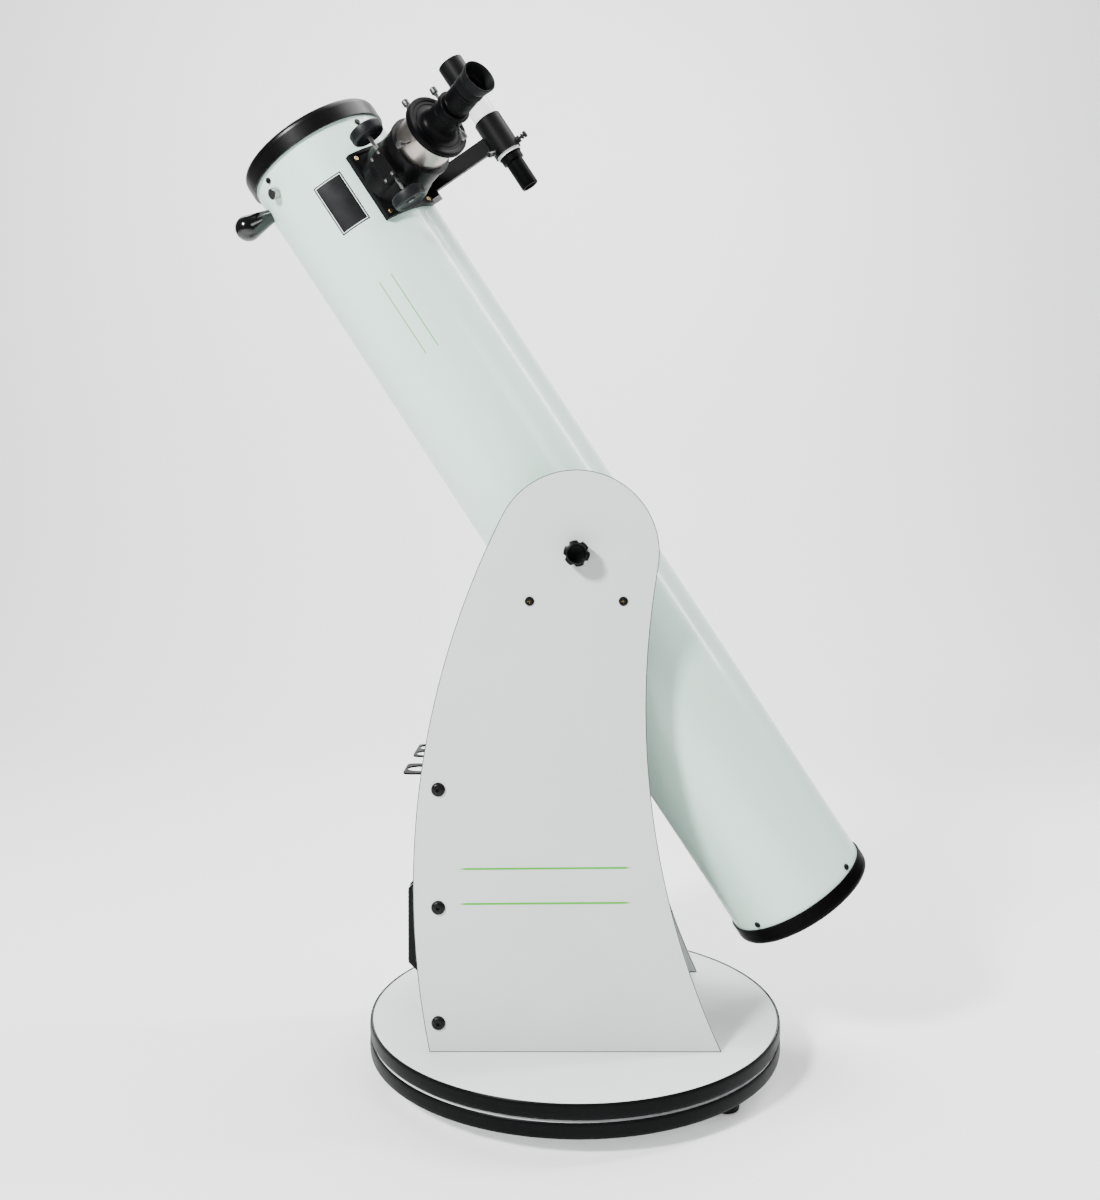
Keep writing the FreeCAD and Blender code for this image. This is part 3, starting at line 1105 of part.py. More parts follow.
def make_adapter():
    """Black reducer from the 2 inch drawtube to 1.25 inch eyepieces."""
    low, high = DRAW_TOP, DRAW_TOP + FLANGE_THICK
    nose = SEAT_2_INCH
    collar = DRAW_TOP - DRAW_COLLAR
    r, ring, top = STEM_RADIUS, STEM_RING, STEM_TOP
    body = turned([(SEAT_1_INCH + RUN, collar), (nose, collar), (nose, low), (FLANGE_RADIUS - 0.8, low),
                   (FLANGE_RADIUS, low + 0.8), (FLANGE_RADIUS, high - 1.5), (FLANGE_RADIUS - 1.5, high),
                   (FLANGE_RADIUS - 6.0, high), (FLANGE_RADIUS - 7.0, high - 1.2), (r + 5.0, high - 1.2),
                   (r + 1.0, high + 3.0), (r, high + 7.0), (r, top - STEM_RING_HIGH - 1.0),
                   (ring, top - STEM_RING_HIGH), (ring, top - 0.8), (ring - 0.8, top), (SEAT_1_INCH + RUN, top)])
    for direction in stem_thumb_directions():
        body = body.cut(thumb_hole(direction, STEM_THUMB_HEIGHT, SEAT_1_INCH - 1, r + 3))
    save_on_tube("eyepiece_adapter", on_tube(body, FOCUSER_STATION, FOCUSER_ANGLE))


def thumbscrew(reach):
    """A knurled thumbscrew: head above z = 0, stem of this length below."""
    head = rod(THUMB_HEAD, (0, 0, 1.0), (0, 0, THUMB_HEAD_LONG))
    for angle in around(12):
        x, y = polar(THUMB_HEAD + 0.25, angle)
        head = head.cut(rod(0.6, (x, y, 1.5), (x, y, THUMB_HEAD_LONG + 1)))
    neck = rod(THUMB_HEAD * 0.72, (0, 0, 0), (0, 0, 1.0))
    return head.fuse([neck, rod(THUMB_RADIUS, (0, 0, -reach), (0, 0, 0))]).removeSplitter()


def make_thumbscrews():
    drawtube = thumbscrew(DRAW_THUMB_HEAD - SEAT_2_INCH - 0.5)
    stem = thumbscrew(STEM_THUMB_HEAD - SEAT_1_INCH - 0.5)
    sets = (
        ("drawtube_thumbscrew", drawtube, draw_thumb_directions(), DRAW_THUMB_HEAD, DRAW_THUMB_HEIGHT),
        ("adapter_thumbscrew", stem, stem_thumb_directions(), STEM_THUMB_HEAD, STEM_THUMB_HEIGHT),
    )
    for name, piece, directions, head, height in sets:
        for i, direction in enumerate(directions, 1):
            x, y = polar(head, direction)
            placed = aimed(piece, (x, y, height), (x, y, 0))
            save_on_tube("%s_%d" % (name, i), on_tube(placed, FOCUSER_STATION, FOCUSER_ANGLE))


def make_eyepiece():
    """1.25 inch eyepiece: barrel, rolled rubber eyecup and eye lens."""
    base, top, r = STEM_TOP + GAP, EYEPIECE_TOP, EYEPIECE_RADIUS
    nose, bore = SEAT_1_INCH, SEAT_1_INCH - NOSE_WALL
    lens_low = top - LENS_THICK - 2.0
    body = turned([(bore, STEM_TOP - EYEPIECE_NOSE), (nose, STEM_TOP - EYEPIECE_NOSE), (nose, base),
                   (r - 0.5, base), (r, base + 0.5), (r, base + 3.0), (EYEPIECE_NECK, base + 4.0),
                   (EYEPIECE_NECK, base + 6.0), (r, base + 7.0), (r, top - 8.0), (EYEPIECE_NECK, top - 7.0),
                   (EYEPIECE_NECK, top), (EYE_LENS - 1.5, top), (EYE_LENS - 1.5, lens_low + LENS_THICK + FIT),
                   (EYE_LENS + FIT, lens_low + LENS_THICK + FIT), (EYE_LENS + FIT, lens_low - FIT),
                   (EYE_LENS - 1.0, lens_low - FIT), (EYE_LENS - 1.0, STEM_TOP + 6.0), (bore, STEM_TOP)])
    cup_low = top - 6.8
    cup_in = EYEPIECE_NECK + FIT
    mouth = EYECUP_RADIUS - EYECUP_WALL
    cup = turned([(cup_in, cup_low), (r + 0.6, cup_low), (r + 0.8, top + 1.0), (EYECUP_RADIUS - 1.2, EYECUP_TOP - 5.0),
                  (EYECUP_RADIUS, EYECUP_TOP - 1.0), (EYECUP_RADIUS - 0.6, EYECUP_TOP), (mouth, EYECUP_TOP - 0.4),
                  (mouth - 1.6, EYECUP_TOP - 5.0), (r - 1.6, top + 3.0), (EYE_LENS + 2.0, top + 1.6),
                  (EYE_LENS + 2.0, top + FIT), (cup_in, top + FIT)])
    lens = turned([(0, lens_low), (EYE_LENS, lens_low), (EYE_LENS, lens_low + LENS_THICK - 0.6),
                   (EYE_LENS * 0.6, lens_low + LENS_THICK - 0.15), (0, lens_low + LENS_THICK)])
    for node, piece in (("eyepiece", body), ("eyecup", cup), ("eyepiece_lens", lens)):
        save_on_tube(node, on_tube(piece, FOCUSER_STATION, FOCUSER_ANGLE))


# ---------------------------------------------------------------------- finder
# Drawn along Z about its own axis, then laid parallel to the tube.

def beside_tube(shape):
    """A finder piece drawn about Z, with +X pointing outward, moved to the finder's axis."""
    x, y = polar(FINDER_HEIGHT, -FINDER_ANGLE)
    turn = FreeCAD.Rotation(V(0, 0, 1), -FINDER_ANGLE)
    return moved(shape, FreeCAD.Placement(V(x, y, 0), turn))


def shoe_station():
    return (STALK_FRONT + STALK_REAR) / 2


def shoe_screw_xs():
    return (-SHOE_LONG / 2 + 7.0, SHOE_LONG / 2 - 7.0)


def dovetail(extra, low, high, half_long):
    """A dovetail bar along X, wider at its foot."""
    top, foot = DOVETAIL_TOP / 2 + extra, DOVETAIL_BOTTOM / 2 + extra
    points = [V(-half_long, y, z) for y, z in ((-foot, low), (foot, low), (top, high), (-top, high))]
    return Part.Face(Part.makePolygon(points + points[:1])).extrude(V(2 * half_long, 0, 0))


def make_finder_shoe():
    half, wide = SHOE_LONG / 2, SHOE_WIDE / 2
    shoe = box((-half, half), (-wide, wide), (TUBE_RADIUS - 4, SHOE_TOP))
    shoe = shoe.cut(rod(TUBE_SKIN, (-half - 1, 0, 0), (half + 1, 0, 0)))
    floor = TUBE_RADIUS + SHOE_FLOOR
    shoe = shoe.cut(dovetail(GAP, floor, SHOE_TOP + 0.01, half + 1))
    for x in shoe_screw_xs():
        shoe = shoe.cut(rod(TUBE_SCREW + FIT, (x, 0, TUBE_RADIUS - 5), (x, 0, floor + 1)))
    save_on_tube("finder_shoe", on_tube(shoe, shoe_station(), FINDER_ANGLE))


def make_finder_bracket():
    """Ring sleeve on a flat stalk with a dovetail foot."""
    inner = SLEEVE_RADIUS - SLEEVE_WALL
    sleeve = turned([(inner, SLEEVE_REAR), (SLEEVE_RADIUS, SLEEVE_REAR), (SLEEVE_RADIUS, SLEEVE_FRONT - 1.0),
                     (SLEEVE_RADIUS - 1.0, SLEEVE_FRONT), (inner, SLEEVE_FRONT)])
    bosses = []
    for angle in ADJUSTER_ANGLES + (PLUNGER_ANGLE,):
        x, y = polar(SLEEVE_RADIUS - 1.0, -angle)
        tip_x, tip_y = polar(SLEEVE_RADIUS + PLUNGER_PAD, -angle)
        bosses.append(rod(BOSS_RADIUS, (x, y, ADJUSTER_STATION), (tip_x, tip_y, ADJUSTER_STATION)))
    sleeve = sleeve.fuse(bosses)
    for angle in ADJUSTER_ANGLES + (PLUNGER_ANGLE,):
        x, y = polar(FINDER_RADIUS - 2, -angle)
        tip_x, tip_y = polar(SLEEVE_RADIUS + PLUNGER_PAD + 2.0, -angle)
        sleeve = sleeve.cut(rod(ADJUSTER_STEM + FIT, (x, y, ADJUSTER_STATION), (tip_x, tip_y, ADJUSTER_STATION)))
    sleeve = beside_tube(sleeve)
    half = (STALK_FRONT - STALK_REAR) / 2
    foot = TUBE_RADIUS + SHOE_FLOOR + GAP
    top = FINDER_HEIGHT - SLEEVE_RADIUS + 1.0
    stalk = box((-half, half), (-STALK_THICK / 2, STALK_THICK / 2), (SHOE_TOP - 1, top))
    bar = dovetail(0.0, foot, SHOE_TOP + 0.01, SHOE_LONG / 2)
    arm = on_tube(stalk.fuse(bar), shoe_station(), FINDER_ANGLE)
    bore = beside_tube(rod(inner, (0, 0, SLEEVE_REAR - BEYOND), (0, 0, SLEEVE_FRONT + BEYOND)))
    save_on_tube("finder_bracket", sleeve.fuse(arm.cut(bore)).removeSplitter())


def make_finder():
    r, inner = FINDER_RADIUS, FINDER_RADIUS - FINDER_WALL
    tube = turned([(inner, FINDER_REAR), (r, FINDER_REAR), (r, FINDER_FRONT), (inner, FINDER_FRONT)])
    front = FINDER_FRONT - HOOD_OVERLAP
    lens_at = HOOD_FRONT - OBJECTIVE_SET
    hood = turned([(r + FIT, front), (HOOD_RADIUS - 0.5, front), (HOOD_RADIUS, front + 0.5),
                   (HOOD_RADIUS, HOOD_FRONT - 0.6), (HOOD_RADIUS - 0.6, HOOD_FRONT), (inner + 0.6, HOOD_FRONT),
                   (inner + 0.6, lens_at + 5.0), (inner - 1.0, lens_at + 5.0), (inner - 1.0, FINDER_FRONT + FIT),
                   (r + FIT, FINDER_FRONT + FIT)])
    neck_low = FINDER_REAR - FINDER_NECK_LONG
    eye = FINDER_EYE_RADIUS
    holder = turned([(0, neck_low + 2), (6.0, neck_low), (6.0, FINDER_EYE_REAR + 4.0), (eye - 3.0, FINDER_EYE_REAR + 3.0),
                     (eye - 1.5, FINDER_EYE_REAR), (eye - 0.6, FINDER_EYE_REAR), (eye, FINDER_EYE_REAR + 0.8),
                     (eye, neck_low - 1.0), (FINDER_NECK, neck_low), (FINDER_NECK, FINDER_REAR - 1.0),
                     (r - 0.4, FINDER_REAR - 1.0), (r - 0.4, FINDER_REAR - FIT), (inner - FIT, FINDER_REAR - FIT),
                     (inner - FIT, FINDER_REAR + 8.0), (0, FINDER_REAR + 8.0)])
    objective = turned([(0, lens_at), (inner + 0.4, lens_at), (inner + 0.4, lens_at + 4.0), (0, lens_at + 4.8)])
    hood = hood.cut(rod(inner + 0.5, (0, 0, lens_at - FIT), (0, 0, lens_at + 4.1)))
    eye_lens = rod(5.8, (0, 0, FINDER_EYE_REAR + 6.0), (0, 0, FINDER_EYE_REAR + 8.0))
    save_on_tube("finder_tube", beside_tube(tube))
    save_on_tube("finder_hood", beside_tube(hood))
    save_on_tube("finder_eyepiece", beside_tube(holder))
    save_on_tube("finder_lenses", beside_tube(objective), beside_tube(eye_lens))


def make_finder_screws():
    station = ADJUSTER_STATION
    reach = SLEEVE_RADIUS + ADJUSTER_PAD - FINDER_RADIUS - FIT
    screws = []
    for angle in ADJUSTER_ANGLES:
        x, y = polar(SLEEVE_RADIUS + ADJUSTER_PAD, -angle)
        head = turned([(0, 0), (2.6, 0), (2.6, 2.0), (ADJUSTER_HEAD, 3.0), (ADJUSTER_HEAD, 6.0), (0, 6.0)])
        piece = head.fuse(rod(ADJUSTER_STEM, (0, 0, -reach), (0, 0, 0)))
        screws.append(beside_tube(aimed(piece, (x, y, station), (x, y, 0))))
    save_on_tube("finder_adjusters", *screws)
    x, y = polar(SLEEVE_RADIUS + PLUNGER_PAD + FIT, -PLUNGER_ANGLE)
    reach = SLEEVE_RADIUS + PLUNGER_PAD - FINDER_RADIUS
    housing = rounded(rod(PLUNGER_RADIUS, (0, 0, 0), (0, 0, PLUNGER_LONG)), 0.8, rim_at(PLUNGER_LONG))
    piece = housing.fuse(rod(ADJUSTER_STEM, (0, 0, -reach), (0, 0, 0)))
    save_on_tube("finder_plunger", beside_tube(aimed(piece, (x, y, station), (x, y, 0))))


make_ground()
make_azimuth_bearing()
make_rocker_board()
make_side_boards()
make_front_board()
make_board_screws()
make_carry_handle()
make_eyepiece_rack()
make_posts()
make_side_bearings()
make_tension_knobs()
make_tube()
make_rings()
make_tube_screws()
make_tube_handle()
make_primary()
make_cell()
make_clips()
make_collimation_knobs()
make_spider()
make_secondary()
make_focuser_body()
make_pinion_cover()
make_focuser_screws()
make_focus_shaft()
make_drawtube()
make_adapter()
make_thumbscrews()
make_eyepiece()
make_finder_shoe()
make_finder_bracket()
make_finder()
make_finder_screws()
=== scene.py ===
import json
import math

import bpy
from mathutils import Matrix, Vector


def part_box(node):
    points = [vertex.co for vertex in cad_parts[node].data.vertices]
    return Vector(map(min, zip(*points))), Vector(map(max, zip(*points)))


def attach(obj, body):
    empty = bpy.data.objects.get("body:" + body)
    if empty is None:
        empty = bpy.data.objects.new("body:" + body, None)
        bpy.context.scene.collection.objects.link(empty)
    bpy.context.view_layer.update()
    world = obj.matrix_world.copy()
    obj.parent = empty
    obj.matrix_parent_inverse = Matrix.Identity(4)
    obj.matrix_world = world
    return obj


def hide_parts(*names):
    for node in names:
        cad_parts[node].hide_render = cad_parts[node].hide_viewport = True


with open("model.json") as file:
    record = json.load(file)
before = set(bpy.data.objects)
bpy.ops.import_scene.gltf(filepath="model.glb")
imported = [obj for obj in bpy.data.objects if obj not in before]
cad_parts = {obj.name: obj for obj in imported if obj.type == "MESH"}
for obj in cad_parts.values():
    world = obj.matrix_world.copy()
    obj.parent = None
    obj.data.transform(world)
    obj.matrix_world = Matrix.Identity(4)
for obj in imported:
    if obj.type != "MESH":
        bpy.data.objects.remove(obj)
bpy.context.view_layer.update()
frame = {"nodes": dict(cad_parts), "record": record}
print("frame loaded with", len(frame["nodes"]), "nodes")

# the tube's own frame: its axis is Z, its origin lies on the altitude axis
joints = {joint["name"]: joint for joint in frame["record"]["behaviour"]["joints"]}
altitude = joints["altitude"]
tubeLean = -altitude["range_deg"][0] - 90
tubeFrame = Matrix.Translation(altitude["pos_m"]) @ Matrix.Rotation(math.radians(tubeLean), 4, "Y")

# metres and degrees; a station is a distance up the tube from that origin
tube = {"radius": 0.091, "focuserStation": 0.500, "focuserAngle": 45, "finderAngle": 5,
        "finderHeight": 0.2045}


def onTube(station, angle):
    # local X runs up the tube, local Z points out at the angle
    sine, cosine = math.sin(math.radians(angle)), math.cos(math.radians(angle))
    rows = ((0, -sine, cosine, 0), (0, -cosine, -sine, 0), (1, 0, 0, station), (0, 0, 0, 1))
    return tubeFrame @ Matrix(rows)


focuserFrame = onTube(tube["focuserStation"], tube["focuserAngle"])

# the outer faces of the side boards, in millimetres from the middle
boardFace = 131.0


# working in edit mode; points closer than mergeWithin metres become one

mergeWithin = 0.000002


def deselectAll():
    if bpy.context.mode != "OBJECT":
        bpy.ops.object.mode_set(mode="OBJECT")
    bpy.ops.object.select_all(action="DESELECT")


def pickPiece(piece):
    deselectAll()
    piece.select_set(True)
    bpy.context.view_layer.objects.active = piece


def editFaces(piece, test):
    # go into edit mode with only the faces that pass the test selected
    pickPiece(piece)
    bpy.ops.object.mode_set(mode="EDIT")
    bpy.ops.mesh.select_mode(type="FACE")
    bpy.ops.mesh.select_all(action="DESELECT")
    bpy.ops.object.mode_set(mode="OBJECT")
    for face in piece.data.polygons:
        face.select = test(face)
    bpy.ops.object.mode_set(mode="EDIT")


def useModifier(piece, kind, **settings):
    pickPiece(piece)
    modifier = piece.modifiers.new(kind.lower(), kind)
    for name, value in settings.items():
        setattr(modifier, name, value)
    bpy.ops.object.modifier_apply(modifier=modifier.name)


def softenEdges(piece, width, segments=2, angle=30):
    useModifier(piece, "BEVEL", width=width, segments=segments, limit_method="ANGLE",
                angle_limit=math.radians(angle), use_clamp_overlap=True)


def turnPiece(name, profile, steps=72, start=0, sweep=360):
    # draw a profile of (radius, height) in millimetres, then spin it about Z
    angle = math.radians(start)
    points = [Vector((radius * math.cos(angle), radius * math.sin(angle), height)) / 1000
              for radius, height in profile]
    deselectAll()
    bpy.ops.mesh.primitive_plane_add(size=0.01)
    piece = bpy.context.active_object
    piece.name = piece.data.name = name
    bpy.ops.object.mode_set(mode="EDIT")
    bpy.ops.mesh.select_mode(type="VERT")
    bpy.ops.mesh.select_all(action="SELECT")
    bpy.ops.mesh.merge(type="CENTER")
    bpy.ops.transform.translate(value=points[0])
    for here, there in zip(points, points[1:]):
        bpy.ops.mesh.extrude_vertices_move(TRANSFORM_OT_translate={"value": there - here})
    bpy.ops.mesh.select_all(action="SELECT")
    bpy.ops.mesh.spin(steps=steps, angle=math.radians(sweep), center=(0, 0, 0), axis=(0, 0, 1))
    bpy.ops.mesh.select_all(action="SELECT")
    bpy.ops.mesh.remove_doubles(threshold=mergeWithin)
    bpy.ops.mesh.normals_make_consistent(inside=False)
    bpy.ops.object.mode_set(mode="OBJECT")
    return piece


def turnOf(face):
    return math.degrees(math.atan2(face.center.y, face.center.x)) % 360


def knurl(piece, low, high, steps, depth):
    # push every other face of a rim outwards
    rim = {"steepest": 0.2, "inset": 0.00008}

    def onRim(face):
        wall = abs(face.normal.z) < rim["steepest"] and low / 1000 < face.center.z < high / 1000
        outward = face.normal.x * face.center.x + face.normal.y * face.center.y > 0
        return wall and outward and int(turnOf(face) * steps / 360) % 2 == 0

    editFaces(piece, onRim)
    bpy.ops.mesh.inset(thickness=rim["inset"], use_individual=True, use_even_offset=False)
    bpy.ops.transform.shrink_fatten(value=depth / 1000)
    bpy.ops.object.mode_set(mode="OBJECT")


def placePiece(piece, place):
    pickPiece(piece)
    piece.matrix_world = place
    bpy.ops.object.transform_apply(location=True, rotation=True, scale=True)


def finishPiece(piece, body, material, place=None, standsFor=(), smooth=35):
    if place is not None:
        placePiece(piece, place)
    pickPiece(piece)
    bpy.ops.object.shade_smooth_by_angle(angle=math.radians(smooth))
    if not piece.data.materials:
        piece.data.materials.append(material)
    piece.data.materials[0] = material
    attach(piece, body)
    if standsFor:
        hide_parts(*standsFor)
    return piece


def joinPieces(name, pieces):
    deselectAll()
    for piece in pieces:
        piece.select_set(True)
    bpy.context.view_layer.objects.active = pieces[0]
    if len(pieces) > 1:
        bpy.ops.object.join()
    pieces[0].name = pieces[0].data.name = name
    return pieces[0]


def copyOfNode(nodeName, name):
    # a CAD piece's own shape, merged, with faces that lie flat within so many degrees whole again
    flatWithin = 0.6
    piece = bpy.data.objects.new(name, frame["nodes"][nodeName].data.copy())
    bpy.context.scene.collection.objects.link(piece)
    piece.data.name = name
    piece.data.materials.clear()
    pickPiece(piece)
    bpy.ops.mesh.customdata_custom_splitnormals_clear()
    bpy.ops.object.mode_set(mode="EDIT")
    bpy.ops.mesh.select_all(action="SELECT")
    bpy.ops.mesh.remove_doubles(threshold=mergeWithin)
    bpy.ops.mesh.dissolve_limited(angle_limit=math.radians(flatWithin))
    bpy.ops.object.mode_set(mode="OBJECT")
    return piece


def outlineFaces(piece, material, width, test):
    # a thin line of another material round the edge of the faces that pass the test
    piece.data.materials.append(material)
    editFaces(piece, test)
    piece.active_material_index = len(piece.data.materials) - 1
    bpy.ops.object.material_slot_assign()
    bpy.ops.mesh.inset(thickness=width / 1000, use_boundary=True, use_even_offset=True)
    piece.active_material_index = 0
    bpy.ops.object.material_slot_assign()
    bpy.ops.object.mode_set(mode="OBJECT")


def aim(point, direction):
    # a place in millimetres whose Z points in a direction
    turn = Vector(direction).to_track_quat("Z", "Y").to_matrix().to_4x4()
    return Matrix.Translation(Vector(point) / 1000) @ turn


# finishes; the two spans say which part of the broad noise changes a colour and a gloss

cloudSpan = (0.35, 0.65)
glossSpan = (0.3, 0.7)


def tone(red, green, blue):
    # a colour as seen on a screen, 0 to 255, turned into the values that nodes use
    def linear(level):
        level = level / 255
        return level / 12.92 if level <= 0.04045 else ((level + 0.055) / 1.055) ** 2.4

    return (linear(red), linear(green), linear(blue), 1)


def makeSurfaceGroup():
    # fine grain and broad unevenness of any finish, in the piece's own coordinates
    group = bpy.data.node_groups.new("surfaceGrain", "ShaderNodeTree")
    face = group.interface
    for name, value in (("Fine Scale", 900.0), ("Broad Scale", 9.0)):
        socket = face.new_socket(name, in_out="INPUT", socket_type="NodeSocketFloat")
        socket.default_value = value
    for name in ("Fine", "Broad"):
        face.new_socket(name, in_out="OUTPUT", socket_type="NodeSocketFloat")
    nodes, links = group.nodes, group.links
    inputs = nodes.new("NodeGroupInput")
    outputs = nodes.new("NodeGroupOutput")
    where = nodes.new("ShaderNodeTexCoord")
    fine = nodes.new("ShaderNodeTexNoise")
    broad = nodes.new("ShaderNodeTexNoise")
    broad.inputs["Detail"].default_value = 4
    broad.inputs["Roughness"].default_value = 0.6
    for texture in (fine, broad):
        links.new(where.outputs["Object"], texture.inputs["Vector"])
    links.new(inputs.outputs["Fine Scale"], fine.inputs["Scale"])
    links.new(inputs.outputs["Broad Scale"], broad.inputs["Scale"])
    links.new(fine.outputs["Fac"], outputs.inputs["Fine"])
    links.new(broad.outputs["Fac"], outputs.inputs["Broad"])
    return group


surfaceGrain = makeSurfaceGroup()


def newFinish(name, settings):
    material = bpy.data.materials.new(name)
    material.use_nodes = True
    shader = material.node_tree.nodes["Principled BSDF"]
    for socket, value in settings.items():
        shader.inputs[socket].default_value = value
    return material, material.node_tree.nodes, material.node_tree.links, shader


def blendColours(nodes, links, factor, first, second):
    mix = nodes.new("ShaderNodeMix")
    mix.data_type = "RGBA"
    for socket, value in ((mix.inputs[6], first), (mix.inputs[7], second)):
        if hasattr(value, "is_output"):
            links.new(value, socket)
        else:
            socket.default_value = value
    links.new(factor, mix.inputs[0])
    return mix.outputs[2]


def rangeOf(nodes, links, value, fromLow, fromHigh, toLow, toHigh):
    spread = nodes.new("ShaderNodeMapRange")
    limits = {"From Min": fromLow, "From Max": fromHigh, "To Min": toLow, "To Max": toHigh}
    for name, number in limits.items():
        spread.inputs[name].default_value = number
    links.new(value, spread.inputs["Value"])
    return spread.outputs["Result"]


def addGrain(nodes, links, shader, fine, broad, bump, height):
    grain = nodes.new("ShaderNodeGroup")
    grain.node_tree = surfaceGrain
    grain.inputs["Fine Scale"].default_value = fine
    grain.inputs["Broad Scale"].default_value = broad
    lift = nodes.new("ShaderNodeBump")
    lift.inputs["Strength"].default_value = bump
    lift.inputs["Distance"].default_value = height
    links.new(grain.outputs["Fine"], lift.inputs["Height"])
    links.new(lift.outputs["Normal"], shader.inputs["Normal"])
    return grain


def makeFinish(name, colour, second, rough, roughSpread=0.08, metal=0.0, fine=900, broad=9, bump=0.05,
               grainHeight=0.00005, coat=0.0, shine=0.5):
    # two close colours, uneven gloss, and a fine bump
    settings = {"Metallic": metal, "Coat Weight": coat, "Coat Roughness": 0.08, "Specular IOR Level": shine}
    material, nodes, links, shader = newFinish(name, settings)
    grain = addGrain(nodes, links, shader, fine, broad, bump, grainHeight)
    cloud = rangeOf(nodes, links, grain.outputs["Broad"], *cloudSpan, 0, 1)
    links.new(blendColours(nodes, links, cloud, colour, second), shader.inputs["Base Color"])
    smoothest, roughest = rough - roughSpread, rough + roughSpread
    gloss = rangeOf(nodes, links, grain.outputs["Broad"], *glossSpan, smoothest, roughest)
    links.new(gloss, shader.inputs["Roughness"])
    return material


finishes = {
    "laminate": makeFinish("whiteLaminate", tone(220, 223, 222), tone(215, 219, 218), 0.46, fine=1400,
                           bump=0.2, shine=0.35),
    "discTop": makeFinish("discLaminate", tone(224, 227, 226), tone(220, 223, 222), 0.46, fine=1400,
                          bump=0.2, shine=0.35),
    "edgeBand": makeFinish("edgeBanding", tone(6, 8, 8), tone(10, 12, 12), 0.36, fine=700, bump=0.12,
                           shine=0.05),
    "rubber": makeFinish("footRubber", tone(9, 9, 9), tone(14, 14, 14), 0.65, fine=600, bump=0.3,
                         shine=0.15),
    "zinc": makeFinish("zincSteel", tone(168, 168, 166), tone(150, 150, 150), 0.35, metal=1.0, broad=60,
                       bump=0.1),
    "blackScrew": makeFinish("blackenedSteel", tone(8, 8, 8), tone(14, 13, 13), 0.34, broad=120,
                             shine=0.15),
    "nylon": makeFinish("whiteNylon", tone(228, 226, 218), tone(218, 215, 206), 0.45, bump=0.1),
    "blackPlastic": makeFinish("blackPlastic", tone(6, 6, 7), tone(10, 10, 11), 0.34, fine=500,
                               bump=0.15, shine=0.1),
    "dullPlastic": makeFinish("dullBlackPlastic", tone(3, 3, 3), tone(6, 6, 6), 0.38, fine=620, bump=0.4,
                              grainHeight=0.0002, shine=0.03),
    "frontRing": makeFinish("frontRingPlastic", tone(4, 4, 4), tone(7, 7, 7), 0.3, roughSpread=0.05,
                            fine=520, bump=0.5, grainHeight=0.0002, shine=0.16),
    "crinkle": makeFinish("satinBlackPaint", tone(6, 6, 7), tone(10, 10, 11), 0.36, fine=420, bump=0.3,
                          grainHeight=0.0002, shine=0.1),
    "finderPaint": makeFinish("finderBlackPaint", tone(9, 9, 10), tone(13, 13, 14), 0.42, fine=520,
                              bump=0.3, grainHeight=0.0002, shine=0.1),
    "bearing": makeFinish("bearingPlastic", tone(8, 8, 9), tone(12, 12, 13), 0.3, bump=0.05, shine=0.15),
    "steel": makeFinish("brightSteel", tone(158, 157, 154), tone(136, 135, 133), 0.3, metal=1.0, broad=80),
    "thumbSteel": makeFinish("thumbscrewSteel", tone(104, 106, 106), tone(82, 84, 84), 0.34, metal=1.0,
                             broad=160),
    "wornBrass": makeFinish("wornBrass", tone(150, 128, 76), tone(70, 60, 42), 0.36, metal=1.0, broad=420),
    "anodised": makeFinish("blackAnodised", tone(5, 5, 6), tone(8, 8, 9), 0.4, fine=900, broad=30,
                           bump=0.08, shine=0.04),
    "cupRubber": makeFinish("eyecupRubber", tone(6, 7, 8), tone(10, 11, 12), 0.5, fine=900, bump=0.2,
                            shine=0.08),
    "knobRubber": makeFinish("knobRubber", tone(13, 15, 17), tone(19, 21, 23), 0.46, fine=800, bump=0.2,
                             shine=0.2),
    "handleGloss": makeFinish("glossBlackPlastic", tone(5, 5, 6), tone(8, 8, 9), 0.16, roughSpread=0.03,
                              fine=200, bump=0.02, coat=0.55, shine=0.3),
    "paleInk": makeFinish("paleInk", tone(170, 174, 174), tone(140, 144, 144), 0.5, fine=1200, bump=0.05),
    "blackout": makeFinish("flatBlackPaint", tone(11, 11, 11), tone(16, 16, 16), 0.8, bump=0.3, shine=0.15),
}


def calculate(nodes, links, operation, *values):
    node = nodes.new("ShaderNodeMath")
    node.operation = operation
    for value, socket in zip(values, node.inputs):
        if hasattr(value, "is_output"):
            links.new(value, socket)
        else:
            socket.default_value = value
    return node.outputs["Value"]


